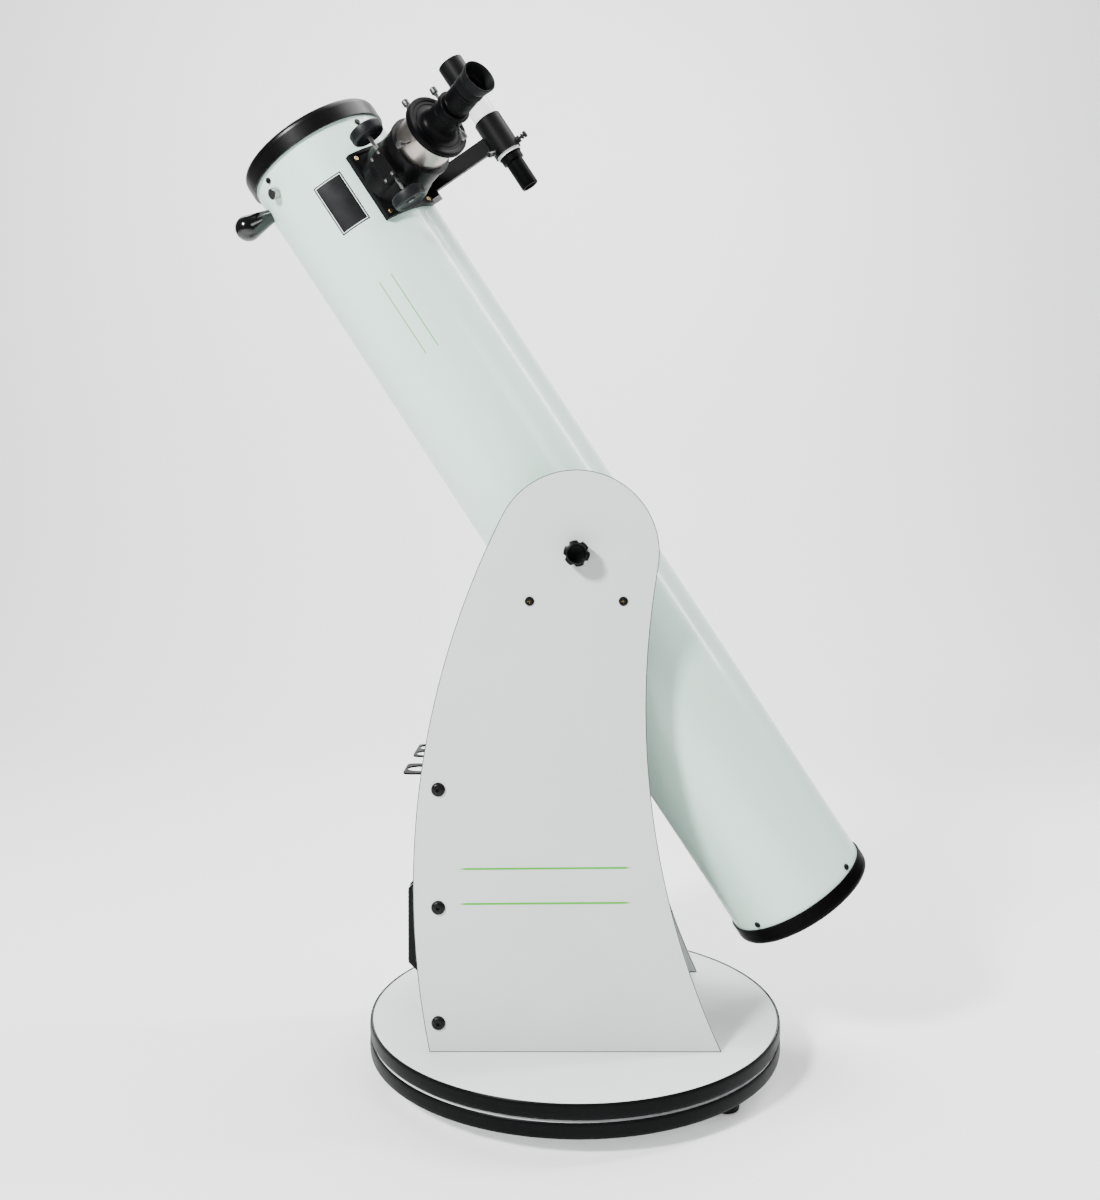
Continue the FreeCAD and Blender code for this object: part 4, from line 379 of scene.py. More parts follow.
def makeTubePlaceGroup():
    # millimetres up the tube, degrees round it from its upper side, and millimetres out from its axis
    group = bpy.data.node_groups.new("tubePlace", "ShaderNodeTree")
    for name in ("Station", "Around", "Out"):
        group.interface.new_socket(name, in_out="OUTPUT", socket_type="NodeSocketFloat")
    nodes, links = group.nodes, group.links
    outputs = nodes.new("NodeGroupOutput")
    where = nodes.new("ShaderNodeTexCoord")
    shift = nodes.new("ShaderNodeMapping")
    shift.vector_type = "TEXTURE"
    shift.inputs["Location"].default_value = tubeFrame.translation
    shift.inputs["Rotation"].default_value = (0, math.radians(tubeLean), 0)
    links.new(where.outputs["Object"], shift.inputs["Vector"])
    split = nodes.new("ShaderNodeSeparateXYZ")
    links.new(shift.outputs["Vector"], split.inputs["Vector"])
    across, side, up = split.outputs
    links.new(calculate(nodes, links, "MULTIPLY", up, 1000.0), outputs.inputs["Station"])
    back = calculate(nodes, links, "MULTIPLY", side, -1.0)
    turn = calculate(nodes, links, "ARCTAN2", back, across)
    links.new(calculate(nodes, links, "DEGREES", turn), outputs.inputs["Around"])
    square = calculate(nodes, links, "ADD", calculate(nodes, links, "MULTIPLY", across, across),
                       calculate(nodes, links, "MULTIPLY", side, side))
    out = calculate(nodes, links, "SQRT", square)
    links.new(calculate(nodes, links, "MULTIPLY", out, 1000.0), outputs.inputs["Out"])
    return group


tubePlace = makeTubePlaceGroup()


def bandOf(nodes, links, value, middle, half, soft):
    # 1 within half of the middle, falling to 0 over the soft edge
    far = calculate(nodes, links, "ABSOLUTE", calculate(nodes, links, "SUBTRACT", value, middle))
    return rangeOf(nodes, links, far, half, half + soft, 1, 0)


def makeTubeEnamel():
    # gloss white outside with two thin printed lines, flat black inside
    look = {"outside": tone(200, 228, 216), "cloud": tone(195, 224, 211), "inside": tone(16, 16, 16),
            "line": tone(70, 155, 46), "lineAngles": (102.3, 91.3), "lineMiddle": 347.5, "lineHalf": 50.5,
            "lineWide": 0.28, "lineSoft": 0.12, "endSoft": 1.0, "wall": 0.5, "gloss": (0.3, 0.36),
            "insideRough": 0.85}
    material, nodes, links, shader = newFinish("tubeEnamel", {"Coat Weight": 0.4, "Coat Roughness": 0.1})
    grain = addGrain(nodes, links, shader, fine=260, broad=5, bump=0.03, height=0.0001)
    place = nodes.new("ShaderNodeGroup")
    place.node_tree = tubePlace
    cloud = rangeOf(nodes, links, grain.outputs["Broad"], *cloudSpan, 0, 1)
    paint = blendColours(nodes, links, cloud, look["outside"], look["cloud"])
    along = bandOf(nodes, links, place.outputs["Station"], look["lineMiddle"], look["lineHalf"],
                   look["endSoft"])
    for angle in look["lineAngles"]:
        across = bandOf(nodes, links, place.outputs["Around"], angle, look["lineWide"], look["lineSoft"])
        printed = calculate(nodes, links, "MULTIPLY", along, across)
        paint = blendColours(nodes, links, printed, paint, look["line"])
    innerFace = tube["radius"] * 1000 - look["wall"]
    inside = calculate(nodes, links, "LESS_THAN", place.outputs["Out"], innerFace)
    links.new(blendColours(nodes, links, inside, paint, look["inside"]), shader.inputs["Base Color"])
    gloss = rangeOf(nodes, links, grain.outputs["Broad"], *glossSpan, *look["gloss"])
    dull = rangeOf(nodes, links, inside, 0, 1, 0, look["insideRough"])
    links.new(calculate(nodes, links, "MAXIMUM", gloss, dull), shader.inputs["Roughness"])
    return material


def makeBoardLaminate():
    # the side boards' white laminate, with two thin printed lines that taper at their ends
    look = {"white": tone(202, 206, 205), "cloud": tone(198, 202, 201), "line": tone(62, 168, 30),
            "middles": (0.2746, 0.2337), "first": -0.138, "last": 0.065, "rise": 0.008, "half": 0.0013,
            "taper": 0.009, "face": boardFace / 1000 - 0.00005, "gloss": (0.44, 0.54)}
    material, nodes, links, shader = newFinish("printedLaminate", {"Specular IOR Level": 0.35})
    grain = addGrain(nodes, links, shader, fine=1400, broad=9, bump=0.2, height=0.00005)
    where = nodes.new("ShaderNodeTexCoord")
    split = nodes.new("ShaderNodeSeparateXYZ")
    links.new(where.outputs["Object"], split.inputs["Vector"])
    x, y, z = split.outputs
    cloud = rangeOf(nodes, links, grain.outputs["Broad"], *cloudSpan, 0, 1)
    paint = blendColours(nodes, links, cloud, look["white"], look["cloud"])
    toEnd = calculate(nodes, links, "MINIMUM", calculate(nodes, links, "SUBTRACT", x, look["first"]),
                      calculate(nodes, links, "SUBTRACT", look["last"], x))
    width = rangeOf(nodes, links, toEnd, 0.0, look["taper"], 0.0, look["half"])
    level = calculate(nodes, links, "SUBTRACT", z, calculate(nodes, links, "MULTIPLY", x, look["rise"]))
    outer = calculate(nodes, links, "GREATER_THAN", calculate(nodes, links, "ABSOLUTE", y), look["face"])
    for middle in look["middles"]:
        off = calculate(nodes, links, "ABSOLUTE", calculate(nodes, links, "SUBTRACT", level, middle))
        printed = calculate(nodes, links, "LESS_THAN", off, width)
        printed = calculate(nodes, links, "MULTIPLY", printed, outer)
        paint = blendColours(nodes, links, printed, paint, look["line"])
    links.new(paint, shader.inputs["Base Color"])
    gloss = rangeOf(nodes, links, grain.outputs["Broad"], *glossSpan, *look["gloss"])
    links.new(gloss, shader.inputs["Roughness"])
    return material


def makePlateInk(name, plate):
    # a bare dark plate with a thin light line just inside its edge, on a curved sheet of the tube's frame
    material, nodes, links, shader = newFinish(name, {"Coat Weight": 0.5, "Coat Roughness": 0.1})
    grain = addGrain(nodes, links, shader, fine=500, broad=14, bump=0.02, height=0.0001)
    place = nodes.new("ShaderNodeGroup")
    place.node_tree = tubePlace
    toMillimetres = math.radians(1) * tube["radius"] * 1000
    along = calculate(nodes, links, "MULTIPLY", place.outputs["Around"], toMillimetres)
    edges = []
    for value, middle, half in ((along, plate["angle"] * toMillimetres, plate["wide"] / 2),
                                (place.outputs["Station"], plate["station"], plate["long"] / 2)):
        far = calculate(nodes, links, "ABSOLUTE", calculate(nodes, links, "SUBTRACT", value, middle))
        edges.append(calculate(nodes, links, "SUBTRACT", half, far))
    edge = calculate(nodes, links, "MINIMUM", *edges)
    cloud = rangeOf(nodes, links, grain.outputs["Broad"], *glossSpan, 0, 1)
    paint = blendColours(nodes, links, cloud, plate["dark"], plate["cloud"])
    for middle, half in plate["lines"]:
        printed = bandOf(nodes, links, edge, middle, half, plate["soft"])
        paint = blendColours(nodes, links, printed, paint, plate["light"])
    links.new(paint, shader.inputs["Base Color"])
    gloss = rangeOf(nodes, links, grain.outputs["Broad"], *glossSpan, *plate["gloss"])
    links.new(gloss, shader.inputs["Roughness"])
    return material


def makeTwoTone(name, limit, near, far):
    # one finish near the tube's axis, and another farther out than the limit in millimetres
    material, nodes, links, shader = newFinish(name, {})
    grain = addGrain(nodes, links, shader, fine=900, broad=110, bump=0.06, height=0.00005)
    place = nodes.new("ShaderNodeGroup")
    place.node_tree = tubePlace
    beyond = calculate(nodes, links, "GREATER_THAN", place.outputs["Out"], limit)
    cloud = rangeOf(nodes, links, grain.outputs["Broad"], *cloudSpan, 0, 1)
    paints = [blendColours(nodes, links, cloud, kind["colour"], kind["cloud"]) for kind in (near, far)]
    links.new(blendColours(nodes, links, beyond, *paints), shader.inputs["Base Color"])
    for socket in ("Roughness", "Metallic"):
        links.new(rangeOf(nodes, links, beyond, 0, 1, near[socket], far[socket]), shader.inputs[socket])
    return material


def makeMirrorCoat():
    # bright coating with the small paper ring at the middle of the mirror's face
    look = {"bright": tone(240, 243, 245), "cloud": tone(234, 238, 241), "side": tone(150, 158, 156),
            "paper": tone(225, 225, 222), "ring": 4.6, "ringHalf": 1.2, "ringSoft": 0.15, "edge": 76.4,
            "gloss": (0.02, 0.4)}
    material, nodes, links, shader = newFinish("mirrorCoating", {"Specular IOR Level": 0.8})
    grain = addGrain(nodes, links, shader, fine=300, broad=12, bump=0.0, height=0.0001)
    place = nodes.new("ShaderNodeGroup")
    place.node_tree = tubePlace
    ring = bandOf(nodes, links, place.outputs["Out"], look["ring"], look["ringHalf"], look["ringSoft"])
    side = calculate(nodes, links, "GREATER_THAN", place.outputs["Out"], look["edge"])
    cloud = rangeOf(nodes, links, grain.outputs["Broad"], *cloudSpan, 0, 1)
    paint = blendColours(nodes, links, cloud, look["bright"], look["cloud"])
    paint = blendColours(nodes, links, side, paint, look["side"])
    links.new(blendColours(nodes, links, ring, paint, look["paper"]), shader.inputs["Base Color"])
    dull = calculate(nodes, links, "MAXIMUM", ring, side)
    links.new(rangeOf(nodes, links, dull, 0, 1, 1, 0), shader.inputs["Metallic"])
    links.new(rangeOf(nodes, links, dull, 0, 1, *look["gloss"]), shader.inputs["Roughness"])
    return material


finishes["enamel"] = makeTubeEnamel()
finishes["finderWhite"] = makeFinish("finderEnamel", tone(232, 234, 230), tone(226, 229, 226), 0.28,
                                     bump=0.03, coat=0.3)
finishes["mirror"] = makeMirrorCoat()
finishes["plainMirror"] = makeFinish("plainMirrorCoating", tone(240, 243, 245), tone(234, 238, 241), 0.04,
                                     roughSpread=0.01, metal=1.0, bump=0.0)
finishes["printed"] = makeBoardLaminate()
silver = {"colour": tone(168, 167, 164), "cloud": tone(146, 145, 142), "Roughness": 0.26, "Metallic": 1.0}
gold = {"colour": tone(168, 150, 104), "cloud": tone(140, 122, 84), "Roughness": 0.34, "Metallic": 1.0}
# painted reflection: this dark colour stands for the dark surroundings mirrored in the chrome end face of
# the spider nuts
black = {"colour": tone(9, 9, 10), "cloud": tone(14, 14, 15), "Roughness": 0.4, "Metallic": 0.0}
finishes["focuserScrew"] = makeTwoTone("focuserScrewSteel", limit=120, near=gold, far=silver)
# the spider nuts are chrome all over; the black on their outer ends is a painted reflection, not black paint
finishes["spiderNut"] = makeTwoTone("spiderNutSteelWithPaintedReflection", limit=tube["radius"] * 1000 + 8.4, near=silver,
                                    far=black)
finishes["chrome"] = makeFinish("satinChrome", tone(178, 171, 165), tone(160, 154, 148), 0.3,
                                roughSpread=0.05, metal=1.0, fine=1500, broad=20, bump=0.04)


def makeLensGlass():
    # glass with a violet and green coating
    look = {"violet": tone(70, 52, 96), "green": tone(40, 78, 70), "broad": 40}
    material, nodes, links, shader = newFinish("coatedGlass", {
        "Roughness": 0.03, "IOR": 1.52, "Transmission Weight": 0.55, "Coat Weight": 0.5})
    grain = nodes.new("ShaderNodeGroup")
    grain.node_tree = surfaceGrain
    grain.inputs["Broad Scale"].default_value = look["broad"]
    cloud = rangeOf(nodes, links, grain.outputs["Broad"], *glossSpan, 0, 1)
    tint = blendColours(nodes, links, cloud, look["violet"], look["green"])
    links.new(tint, shader.inputs["Base Color"])
    return material


finishes["lens"] = makeLensGlass()
print("finishes made:", len(finishes))

nodeFinishes = {
    "rubber": ["feet"],
    "zinc": ["foot_screws", "azimuth_pivot", "mirror_clips", "collimation_springs"],
    "blackScrew": ["board_screws", "tube_screws", "secondary_screws"],
    "nylon": ["azimuth_pads", "altitude_posts"],
    "blackPlastic": ["carry_handle", "collimation_knob_1", "collimation_knob_2", "collimation_knob_3"],
    "frontRing": ["front_ring"],
    "dullPlastic": ["rear_ring", "eyepiece_rack"],
    "bearing": ["side_bearing_left", "side_bearing_right"],
    "crinkle": ["focuser_body", "pinion_cover", "finder_shoe"],
    "finderPaint": ["finder_bracket", "finder_hood"],
    "enamel": ["optical_tube"],
    "finderWhite": ["finder_tube"],
    "blackout": ["spider", "secondary_holder"],
    "mirror": ["primary_mirror"],
    "plainMirror": ["secondary_mirror"],
    "anodised": ["mirror_cell", "cell_frame", "finder_eyepiece"],
    "steel": ["focus_shaft"],
    "thumbSteel": ["finder_plunger"],
    "spiderNut": ["spider_nuts"],
    "focuserScrew": ["focuser_screws"],
    "chrome": ["drawtube"],
    "lens": ["eyepiece_lens", "finder_lenses"],
    "handleGloss": ["tube_handle"],
}
for finishName, nodeNames in nodeFinishes.items():
    for nodeName in nodeNames:
        mesh = frame["nodes"][nodeName].data
        mesh.materials.clear()
        mesh.materials.append(finishes[finishName])
print("finishes given to", sum(len(names) for names in nodeFinishes.values()), "nodes")


# boards

def makeBoards():
    # each board's own shape with softened edges, and the dark seam of its edge banding
    look = {"edge": 0.0005, "seam": 0.9, "discSeam": 1.1, "flat": 0.999}
    seam = makeFinish("boardSeam", tone(18, 20, 24), tone(30, 33, 38), 0.6, bump=0.05, shine=0.1)
    boards = {"side_board_left": ("sideBoardNear", "printed", "rocker"),
              "side_board_right": ("sideBoardFar", "printed", "rocker"),
              "front_board": ("frontBoard", "laminate", "rocker"),
              "rocker_board": ("upperDisc", "discTop", "rocker"),
              "ground_board": ("lowerDisc", "discTop", "ground")}
    for nodeName, (name, finishName, body) in boards.items():
        board = copyOfNode(nodeName, name)
        softenEdges(board, look["edge"], segments=2, angle=50)
        board.data.materials.append(finishes[finishName])
        if finishName == "printed":
            outlineFaces(board, seam, look["seam"], lambda face: abs(face.normal.y) > look["flat"])
        if nodeName == "rocker_board":
            outlineFaces(board, seam, look["discSeam"], lambda face: face.normal.z > look["flat"])
        finishPiece(board, body, finishes[finishName], standsFor=[nodeName])


def makeEdgeBands():
    # rounded banding pressed on each disc's edge
    look = {"gap": 0.05, "deep": 2.4, "bulge": 0.02, "steps": 160,
            "rounding": ((1.5, 0), (0.75, 0.8), (0.25, 2.8), (0.05, 5.6))}
    for nodeName, name, body in (("rocker_edge_band", "upperEdgeBand", "rocker"),
                                 ("ground_edge_band", "lowerEdgeBand", "ground")):
        low, high = (corner.z * 1000 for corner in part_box(nodeName))
        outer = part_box(nodeName)[1].x * 1000
        high, low = high - look["gap"], low + look["gap"]
        inner = outer - look["deep"]
        lower = [(outer - inward, low + up) for inward, up in look["rounding"]]
        upper = [(outer - inward, high - down) for inward, down in reversed(look["rounding"])]
        bulge = (outer - look["bulge"], (low + high) / 2)
        profile = [(inner, low), *lower, bulge, *upper, (inner, high), (inner, low)]
        band = turnPiece(name, profile, steps=look["steps"])
        finishPiece(band, body, finishes["edgeBand"], standsFor=[nodeName])


makeBoards()
makeEdgeBands()
print("boards and edge bands made")


# knobs and bolts on the boards

def cutAway(piece, cutter):
    useModifier(piece, "BOOLEAN", object=cutter, operation="DIFFERENCE", solver="EXACT")
    bpy.data.objects.remove(cutter)


def makeTensionKnobs():
    # six lobes with round notches between them, and a dished middle
    knob = {"radius": 15.4, "lobes": 6, "firstNotch": 15, "notch": 3.0, "notchOut": 0.6, "notchLow": 6,
            "notchHigh": 24, "soften": 0.0005}
    profile = [(0, -36.4), (3.6, -36.4), (3.95, -36.0), (3.95, 0.4), (8.0, 0.4), (8.0, 8.0),
               (13.6, 8.0), (15.0, 8.8), (15.4, 10.4), (15.4, 19.4), (14.9, 21.0), (13.6, 22.0),
               (12.5, 22.2), (12.0, 22.7), (11.8, 24.8), (11.5, 25.7), (11.0, 26.0), (10.5, 25.6),
               (10.2, 24.6), (9.9, 15.0), (9.3, 14.2), (0, 14.0)]
    for side, word, hand in ((-1, "Near", "left"), (1, "Far", "right")):
        piece = turnPiece("tensionKnob" + word, profile, steps=96)
        cutters = []
        for i in range(knob["lobes"]):
            turn = math.radians(knob["firstNotch"] + i * 360 / knob["lobes"])
            notch = [(0, knob["notchLow"]), (knob["notch"], knob["notchLow"]),
                     (knob["notch"], knob["notchHigh"]), (0, knob["notchHigh"])]
            cutter = turnPiece("notchCutter", notch, steps=24)
            out = knob["radius"] + knob["notchOut"]
            place = Matrix.Translation(Vector((out * math.cos(turn), out * math.sin(turn), 0)) / 1000)
            placePiece(cutter, place)
            cutters.append(cutter)
        cutAway(piece, joinPieces("notchCutters", cutters))
        softenEdges(piece, knob["soften"], segments=2, angle=40)
        place = aim((0, side * boardFace, altitude["pos_m"][2] * 1000), (0, side, 0))
        finishPiece(piece, "tension_" + hand, finishes["blackPlastic"], place, ["tension_knob_" + hand])


def makeBoardBolts():
    # domed heads with a hexagon socket
    bolt = {"heights": (34, 169, 307), "socket": 2.5, "socketLow": 1.2, "socketHigh": 6}
    profile = [(0, -48.0), (2.6, -48.0), (2.9, -47.4), (2.9, 0.02), (8.2, 0.02), (8.25, 0.6),
               (7.9, 1.7), (7.0, 2.8), (5.6, 3.6), (4.0, 4.0), (0, 4.15)]
    low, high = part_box("front_board_bolts")
    middle = (low.x + high.x) / 2 * 1000
    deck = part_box("front_board")[0].z * 1000
    pieces = []
    for side in (-1, 1):
        for height in bolt["heights"]:
            head = turnPiece("boardBoltHead", profile, steps=48)
            socket = [(0, bolt["socketLow"]), (bolt["socket"], bolt["socketLow"]),
                      (bolt["socket"], bolt["socketHigh"]), (0, bolt["socketHigh"])]
            cutAway(head, turnPiece("socketCutter", socket, steps=6))
            placePiece(head, aim((middle, side * boardFace, deck + height), (0, side, 0)))
            pieces.append(head)
    bolts = joinPieces("boardBoltSet", pieces)
    finishPiece(bolts, "rocker", finishes["blackScrew"], standsFor=["front_board_bolts"])


def makePostScrewCrosses():
    # the worn, brassy crosses in the heads of the screws that hold the altitude posts
    cross = {"apart": 54.6, "below": 56.1, "proud": 1.6, "size": (0.0056, 0.0013, 0.0012), "soften": 0.0003,
             "spin": 20}
    height = altitude["pos_m"][2] * 1000 - cross["below"]
    pieces = []
    for side in (-1, 1):
        for x in (-cross["apart"], cross["apart"]):
            for turn in (0, 90):
                deselectAll()
                bpy.ops.mesh.primitive_cube_add(size=1)
                bar = bpy.context.active_object
                placePiece(bar, Matrix.Diagonal((*cross["size"], 1)))
                softenEdges(bar, cross["soften"])
                spin = Matrix.Rotation(math.radians(turn + cross["spin"]), 4, "Z")
                out = side * (boardFace + cross["proud"])
                placePiece(bar, aim((x, out, height), (0, side, 0)) @ spin)
                pieces.append(bar)
    crosses = joinPieces("postScrewCrosses", pieces)
    finishPiece(crosses, "rocker", finishes["wornBrass"])


makeTensionKnobs()
makeBoardBolts()
makePostScrewCrosses()
print("knobs and bolts made")


# focuser pieces, in its own frame: X up the tube, Z outward, in millimetres

focus = {"drawTop": 187.0, "stemTop": 231.0, "stemGap": 0.3, "eyepieceTop": 266.0, "eyecupTop": 283.0,
         "knobOut": 38.0, "drawScrew": 172.0, "drawScrewOut": 42.0, "stemScrew": 217.0, "stemScrewOut": 25.0}


def makeAdapter():
    # a knurled flange, a stepped cone and the stem that holds the eyepiece
    rim = {"steps": 192, "low": 2.0, "high": 5.5, "ridge": 0.14}
    low, top = focus["drawTop"], focus["stemTop"]
    profile = [(15.95, low - 22), (25.4, low - 22), (25.4, low), (38.3, low), (39.0, low + 0.5),
               (39.1, low + 1.1), (38.6, low + 1.3), (38.6, low + 1.7), (39.1, low + 1.9),
               (39.1, low + 5.6), (38.6, low + 5.8), (38.6, low + 6.2), (39.1, low + 6.4),
               (38.9, low + 7.4), (38.1, low + 8.0), (34.0, low + 8.0), (33.4, low + 7.6),
               (32.8, low + 6.9), (29.6, low + 6.8), (29.2, low + 6.1), (28.4, low + 6.1),
               (28.0, low + 6.8), (24.6, low + 6.8), (22.6, low + 8.0), (20.6, low + 10.2),
               (19.4, low + 12.8), (18.8, low + 16.0), (18.8, top - 15.0), (18.5, top - 14.6),
               (18.5, top - 13.8), (18.8, top - 13.4), (18.8, top - 6.4), (19.8, top - 5.2),
               (20.0, top - 4.6), (20.0, top - 1.0), (19.5, top - 0.2), (18.9, top), (15.95, top),
               (15.95, low - 22)]
    adapter = turnPiece("adapterRing", profile, steps=rim["steps"])
    knurl(adapter, low + rim["low"], low + rim["high"], rim["steps"], rim["ridge"])
    finishPiece(adapter, "drawtube", finishes["anodised"], focuserFrame, ["eyepiece_adapter"])


def makeEyepiece():
    # the turned barrel with its recessed eye end, and the ribbed, flared rubber cup
    ribs = {"count": 5, "first": 5.6, "apart": 1.7}
    base, top = focus["stemTop"] + focus["stemGap"], focus["eyepieceTop"]
    profile = [(14.4, base - 29), (15.7, base - 29.2), (15.85, base - 28.8), (15.85, base),
               (16.0, base), (16.5, base + 0.5), (16.6, base + 1.0), (16.6, base + 2.8),
               (15.6, base + 3.8), (15.4, base + 4.4), (15.4, base + 5.8), (15.6, base + 6.4),
               (16.6, base + 7.2), (16.6, top - 12.4), (16.2, top - 12.0), (16.2, top - 11.2),
               (16.6, top - 10.8), (16.6, top - 8.2), (15.5, top - 7.2), (15.4, top), (12.2, top),
               (11.8, top - 0.6), (10.6, top - 2.2), (7.6, top - 2.4), (7.5, top - 3.2),
               (9.1, top - 3.2), (9.1, top - 7.4), (8.0, top - 7.6), (8.0, base + 6), (14.4, base),
               (14.4, base - 29)]
    barrel = turnPiece("eyepieceBarrel", profile, steps=96)
    finishPiece(barrel, "eyepiece", finishes["anodised"], focuserFrame, ["eyepiece"])

    cupTop = focus["eyecupTop"]
    profile = [(15.5, top - 6.7), (16.9, top - 6.7), (17.3, top - 6.2)]
    for i in range(ribs["count"]):
        low = top - ribs["first"] + i * ribs["apart"]
        profile += [(17.35, low), (17.35, low + 0.9), (16.85, low + 1.1), (16.85, low + 1.5)]
    profile += [(17.4, top + 3.4), (18.3, top + 7.5), (19.2, top + 11.6), (19.9, top + 15.0),
                (20.15, top + 16.0), (20.0, cupTop - 0.4), (19.5, cupTop - 0.05), (18.9, cupTop - 0.2),
                (18.4, cupTop - 0.9), (17.6, cupTop - 3.6), (16.8, top + 8.6), (15.2, top + 4.0),
                (14.4, top + 2.6), (13.2, top + 1.9), (11.4, top + 1.6), (11.1, top + 1.1),
                (11.1, top + 0.15), (15.5, top + 0.15), (15.5, top - 6.7)]
    cup = turnPiece("eyecupRubber", profile, steps=96)
    finishPiece(cup, "eyepiece", finishes["cupRubber"], focuserFrame, ["eyecup"])


def makeFocusKnobs():
    # ridged wheels with turned faces, and the screw in the middle of each
    rim = {"steps": 144, "low": 3.1, "high": 11.0, "ridge": 0.42}
    drive = focuserFrame.inverted() @ Vector(joints["focus_drive"]["pos_m"]) * 1000
    profile = [(2.7, 0.1), (5.5, 0.1), (6.0, 0.6), (15.6, 0.6), (16.2, 0.1), (17.8, 0.1), (19.2, 1.0),
               (19.8, 2.2), (20.0, 3.0), (20.0, 11.2), (19.8, 12.2), (19.2, 13.0), (18.4, 13.4),
               (17.4, 13.4), (16.6, 13.0), (16.0, 12.2), (15.4, 11.8), (13.6, 11.7), (13.3, 12.1),
               (12.4, 12.1), (12.1, 11.7), (10.2, 11.7), (9.9, 12.1), (9.0, 12.1), (8.7, 11.7),
               (6.8, 11.7), (6.4, 12.7), (5.9, 13.1), (4.6, 13.1), (4.2, 12.6), (4.2, 11.2), (0, 11.0)]
    screwProfile = [(0, 11.1), (3.9, 11.1), (3.9, 12.0), (3.4, 12.5), (2.2, 12.9), (1.3, 13.0),
                    (1.2, 12.3), (0, 12.2)]
    for side, word in ((-1, "Rear"), (1, "Front")):
        place = focuserFrame @ aim((side * focus["knobOut"], drive.y, drive.z), (side, 0, 0))
        wheel = turnPiece("focusWheel" + word, profile, steps=rim["steps"])
        knurl(wheel, rim["low"], rim["high"], rim["steps"], rim["ridge"])
        finishPiece(wheel, "focus_wheel", finishes["knobRubber"], place, ["focus_knobs"])
        screw = turnPiece("focusWheelScrew" + word, screwProfile, steps=48)
        finishPiece(screw, "focus_wheel", finishes["steel"], place)


def makeThumbscrews():
    # knurled heads on stems that reach through their collar to what they hold
    rim = {"steps": 48, "low": 2.6, "high": 8.6, "ridge": 0.2}
    stems = {"drawScrew": 16, "stemScrew": 9}
    profile = [(0, -16.0), (1.5, -16.0), (1.85, -15.6), (1.85, 0), (2.6, 0.05), (2.7, 1.9), (3.6, 2.1),
               (3.95, 2.5), (3.95, 8.7), (3.6, 9.3), (2.8, 9.6), (1.6, 9.6), (1.4, 9.1), (0, 9.0)]
    spots = {"drawtube_thumbscrew_1": ("drawtube_screw_1", "drawScrew", 0),
             "drawtube_thumbscrew_2": ("drawtube_screw_2", "drawScrew", 90),
             "adapter_thumbscrew_1": ("adapter_screw_1", "stemScrew", 0),
             "adapter_thumbscrew_2": ("adapter_screw_2", "stemScrew", 180)}
    for nodeName, (body, kind, angle) in spots.items():
        outward = (math.cos(math.radians(angle)), math.sin(math.radians(angle)), 0)
        out = focus[kind + "Out"]
        shaped = [(radius, max(height, -stems[kind])) for radius, height in profile]
        screw = turnPiece(nodeName.replace("_thumbscrew_", "Thumbscrew"), shaped, steps=rim["steps"])
        knurl(screw, rim["low"], rim["high"], rim["steps"], rim["ridge"])
        place = focuserFrame @ aim((outward[0] * out, outward[1] * out, focus[kind]), outward)
        finishPiece(screw, body, finishes["thumbSteel"], place, [nodeName])


makeAdapter()
makeEyepiece()
makeFocusKnobs()
makeThumbscrews()
print("focuser pieces made")


# finder pieces

def makeFinderScrews():
    # the two screws that aim the finder, each with a knurled nut and a knurled head
    screws = {"station": 467.0, "out": 26, "angles": (15, 255), "steps": 48, "ridge": 0.14,
              "rims": ((-1.2, 0.5), (2.7, 5.1))}
    lean = math.radians(-tube["finderAngle"])
    out = tube["finderHeight"]
    shift = Matrix.Translation((out * math.cos(lean), out * math.sin(lean), 0))
    finderFrame = tubeFrame @ (shift @ Matrix.Rotation(lean, 4, "Z"))
    profile = [(0, -9.0), (1.7, -9.0), (1.7, -1.6), (3.2, -1.5), (3.5, -1.2), (3.5, 0.5), (3.2, 0.8),
               (1.9, 0.9), (1.9, 2.0), (3.7, 2.2), (4.05, 2.6), (4.05, 5.2), (3.7, 5.8), (2.6, 6.0),
               (1.4, 6.0), (1.2, 5.5), (0, 5.4)]
    pieces = []
    for angle in screws["angles"]:
        turn = math.radians(-angle)
        outward = (math.cos(turn), math.sin(turn), 0)
        screw = turnPiece("finderAdjusterHead", profile, steps=screws["steps"])
        for low, high in screws["rims"]:
            knurl(screw, low, high, screws["steps"], screws["ridge"])
        foot = (outward[0] * screws["out"], outward[1] * screws["out"], screws["station"])
        placePiece(screw, finderFrame @ aim(foot, outward))
        pieces.append(screw)
    both = joinPieces("finderAdjusterPair", pieces)
    finishPiece(both, "finder", finishes["blackScrew"], standsFor=["finder_adjusters"])


makeFinderScrews()
print("finder pieces made")


# plates on the tube

def makePlate():
    # a bare dark plate, a thin sheet that follows the tube's wall
    plate = {"station": 501.3, "angle": 93.4, "long": 66.0, "wide": 39.0, "dark": tone(13, 14, 15),
             "cloud": tone(22, 23, 25), "light": tone(232, 236, 236), "lines": ((1.95, 0.34),),
             "soft": 0.15, "gloss": (0.2, 0.3), "lift": 0.12, "thick": 0.00012}
    half = math.degrees(plate["wide"] / 2 / (tube["radius"] * 1000))
    low, high = plate["station"] - plate["long"] / 2, plate["station"] + plate["long"] / 2
    out = tube["radius"] * 1000 + plate["lift"]
    sheet = turnPiece("tubePlate", [(out, low), (out, high)], steps=16, start=half - plate["angle"],
                      sweep=2 * half)
    useModifier(sheet, "SOLIDIFY", thickness=plate["thick"], offset=0)
    finishPiece(sheet, "tube", makePlateInk("plateInk", plate), tubeFrame)


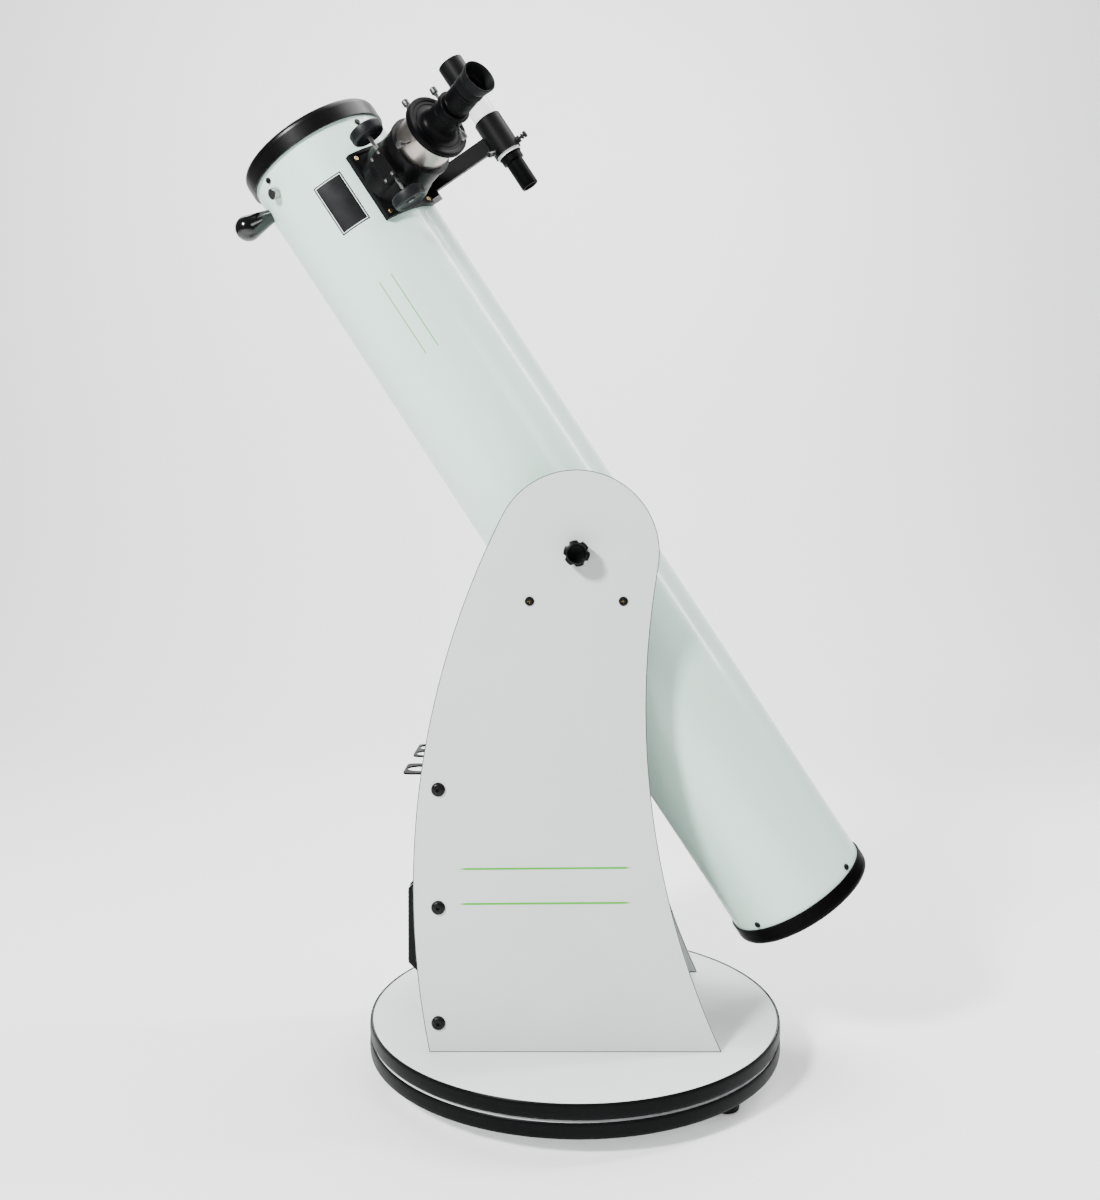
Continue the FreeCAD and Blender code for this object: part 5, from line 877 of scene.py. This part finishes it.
def makeBarrelFrame():
    # a bare frame of thin pale lines printed on the eyepiece's barrel
    mark = {"low": 243.0, "high": 256.6, "first": -78, "sweep": 62, "radius": 16.66, "line": 0.28,
            "thick": 0.00006}
    low, high, radius, line = (mark[key] for key in ("low", "high", "radius", "line"))
    edge = math.degrees(line / radius)
    left, wide = mark["first"], mark["sweep"]
    runs = [(low, low + line, left, wide), (high - line, high, left, wide),
            (low, high, left, edge), (low, high, left + wide - edge, edge)]
    pieces = []
    for start, end, first, sweep in runs:
        strip = turnPiece("barrelLine", [(radius, start), (radius, end)], steps=max(2, int(sweep / 4)),
                          start=first + sweep, sweep=sweep)
        useModifier(strip, "SOLIDIFY", thickness=mark["thick"], offset=0)
        pieces.append(strip)
    lines = joinPieces("barrelPrint", pieces)
    finishPiece(lines, "eyepiece", finishes["paleInk"], focuserFrame)


makePlate()
makeBarrelFrame()
print("plates made")


# stage, lights and camera

def makeStage():
    # a plain pale floor that bends up into a backdrop and glows a little
    stage = {"width": 9.0, "front": -4.5, "back": 3.2, "high": 4.5, "bend": 1.2, "glow": 0.12}
    deselectAll()
    bpy.ops.mesh.primitive_plane_add(size=1)
    floor = bpy.context.active_object
    floor.name = floor.data.name = "studioFloor"
    floor.scale = (stage["width"], stage["back"] - stage["front"], 1)
    floor.location = (0, (stage["back"] + stage["front"]) / 2, 0)
    bpy.ops.object.transform_apply(location=True, rotation=True, scale=True)
    bpy.ops.object.mode_set(mode="EDIT")
    bpy.ops.mesh.select_mode(type="EDGE")
    bpy.ops.mesh.select_all(action="DESELECT")
    bpy.ops.object.mode_set(mode="OBJECT")
    # only the back edge rises into the backdrop
    for edge in floor.data.edges:
        edge.select = all(floor.data.vertices[i].co.y > 1 for i in edge.vertices)
    bpy.ops.object.mode_set(mode="EDIT")
    bpy.ops.mesh.extrude_region_move(TRANSFORM_OT_translate={"value": (0, 0, stage["high"])})
    bpy.ops.object.mode_set(mode="OBJECT")
    softenEdges(floor, stage["bend"], segments=12, angle=60)
    bpy.ops.object.shade_smooth()
    pale = makeFinish("paleFloor", tone(246, 246, 246), tone(245, 245, 245), 0.75, bump=0.0)
    shader = pale.node_tree.nodes["Principled BSDF"]
    shader.inputs["Emission Color"].default_value = (1, 1, 1, 1)
    shader.inputs["Emission Strength"].default_value = stage["glow"]
    floor.data.materials.append(pale)


def makeLights():
    # each softbox: its place, what it points at, its size in metres and its power
    softboxes = {"keySoftbox": ((-1.7, -2.0, 2.2), (0, 0, 0.6), (0.45, 0.45), 205),
                 "fillSoftbox": ((1.6, -1.9, 2.1), (0, 0, 0.6), (0.8, 0.8), 14),
                 "topSoftbox": ((0.5, 0.3, 3.0), (0, 0, 0.6), (2.0, 1.6), 88),
                 "rimSoftbox": ((2.0, 0.4, 2.2), (0, 0, 0.7), (0.3, 1.8), 48),
                 "backdropSoftbox": ((0, 1.2, 3.2), (0, 3.2, 0.8), (4.0, 0.8), 130)}
    skyStrength = 0.15
    for name, (place, target, size, power) in softboxes.items():
        lamp = bpy.data.lights.new(name, "AREA")
        lamp.shape = "RECTANGLE"
        lamp.size, lamp.size_y = size
        lamp.energy = power
        light = bpy.data.objects.new(name, lamp)
        bpy.context.scene.collection.objects.link(light)
        light.location = place
        light.rotation_euler = (Vector(target) - Vector(place)).to_track_quat("-Z", "Y").to_euler()
    world = bpy.data.worlds.new("studio")
    bpy.context.scene.world = world
    world.use_nodes = True
    sky = world.node_tree.nodes["Background"]
    sky.inputs["Color"].default_value = (1, 1, 1, 1)
    sky.inputs["Strength"].default_value = skyStrength


def makeCamera():
    view = {"place": (-0.0232, -1.5351, 0.6894), "yaw": -0.11, "pitch": -0.56, "lens": 36.24,
            "shift": (-0.0034, -0.0632)}
    data = bpy.data.cameras.new("camera")
    camera = bpy.data.objects.new("camera", data)
    bpy.context.scene.collection.objects.link(camera)
    camera.location = view["place"]
    camera.rotation_euler = (math.radians(90 + view["pitch"]), 0, math.radians(-view["yaw"]))
    data.lens = view["lens"]
    data.sensor_width = 36
    data.shift_x, data.shift_y = view["shift"]
    data.clip_start, data.clip_end = 0.05, 50
    bpy.context.scene.camera = camera


makeStage()
makeLights()
makeCamera()
print("stage, lights and camera are set")
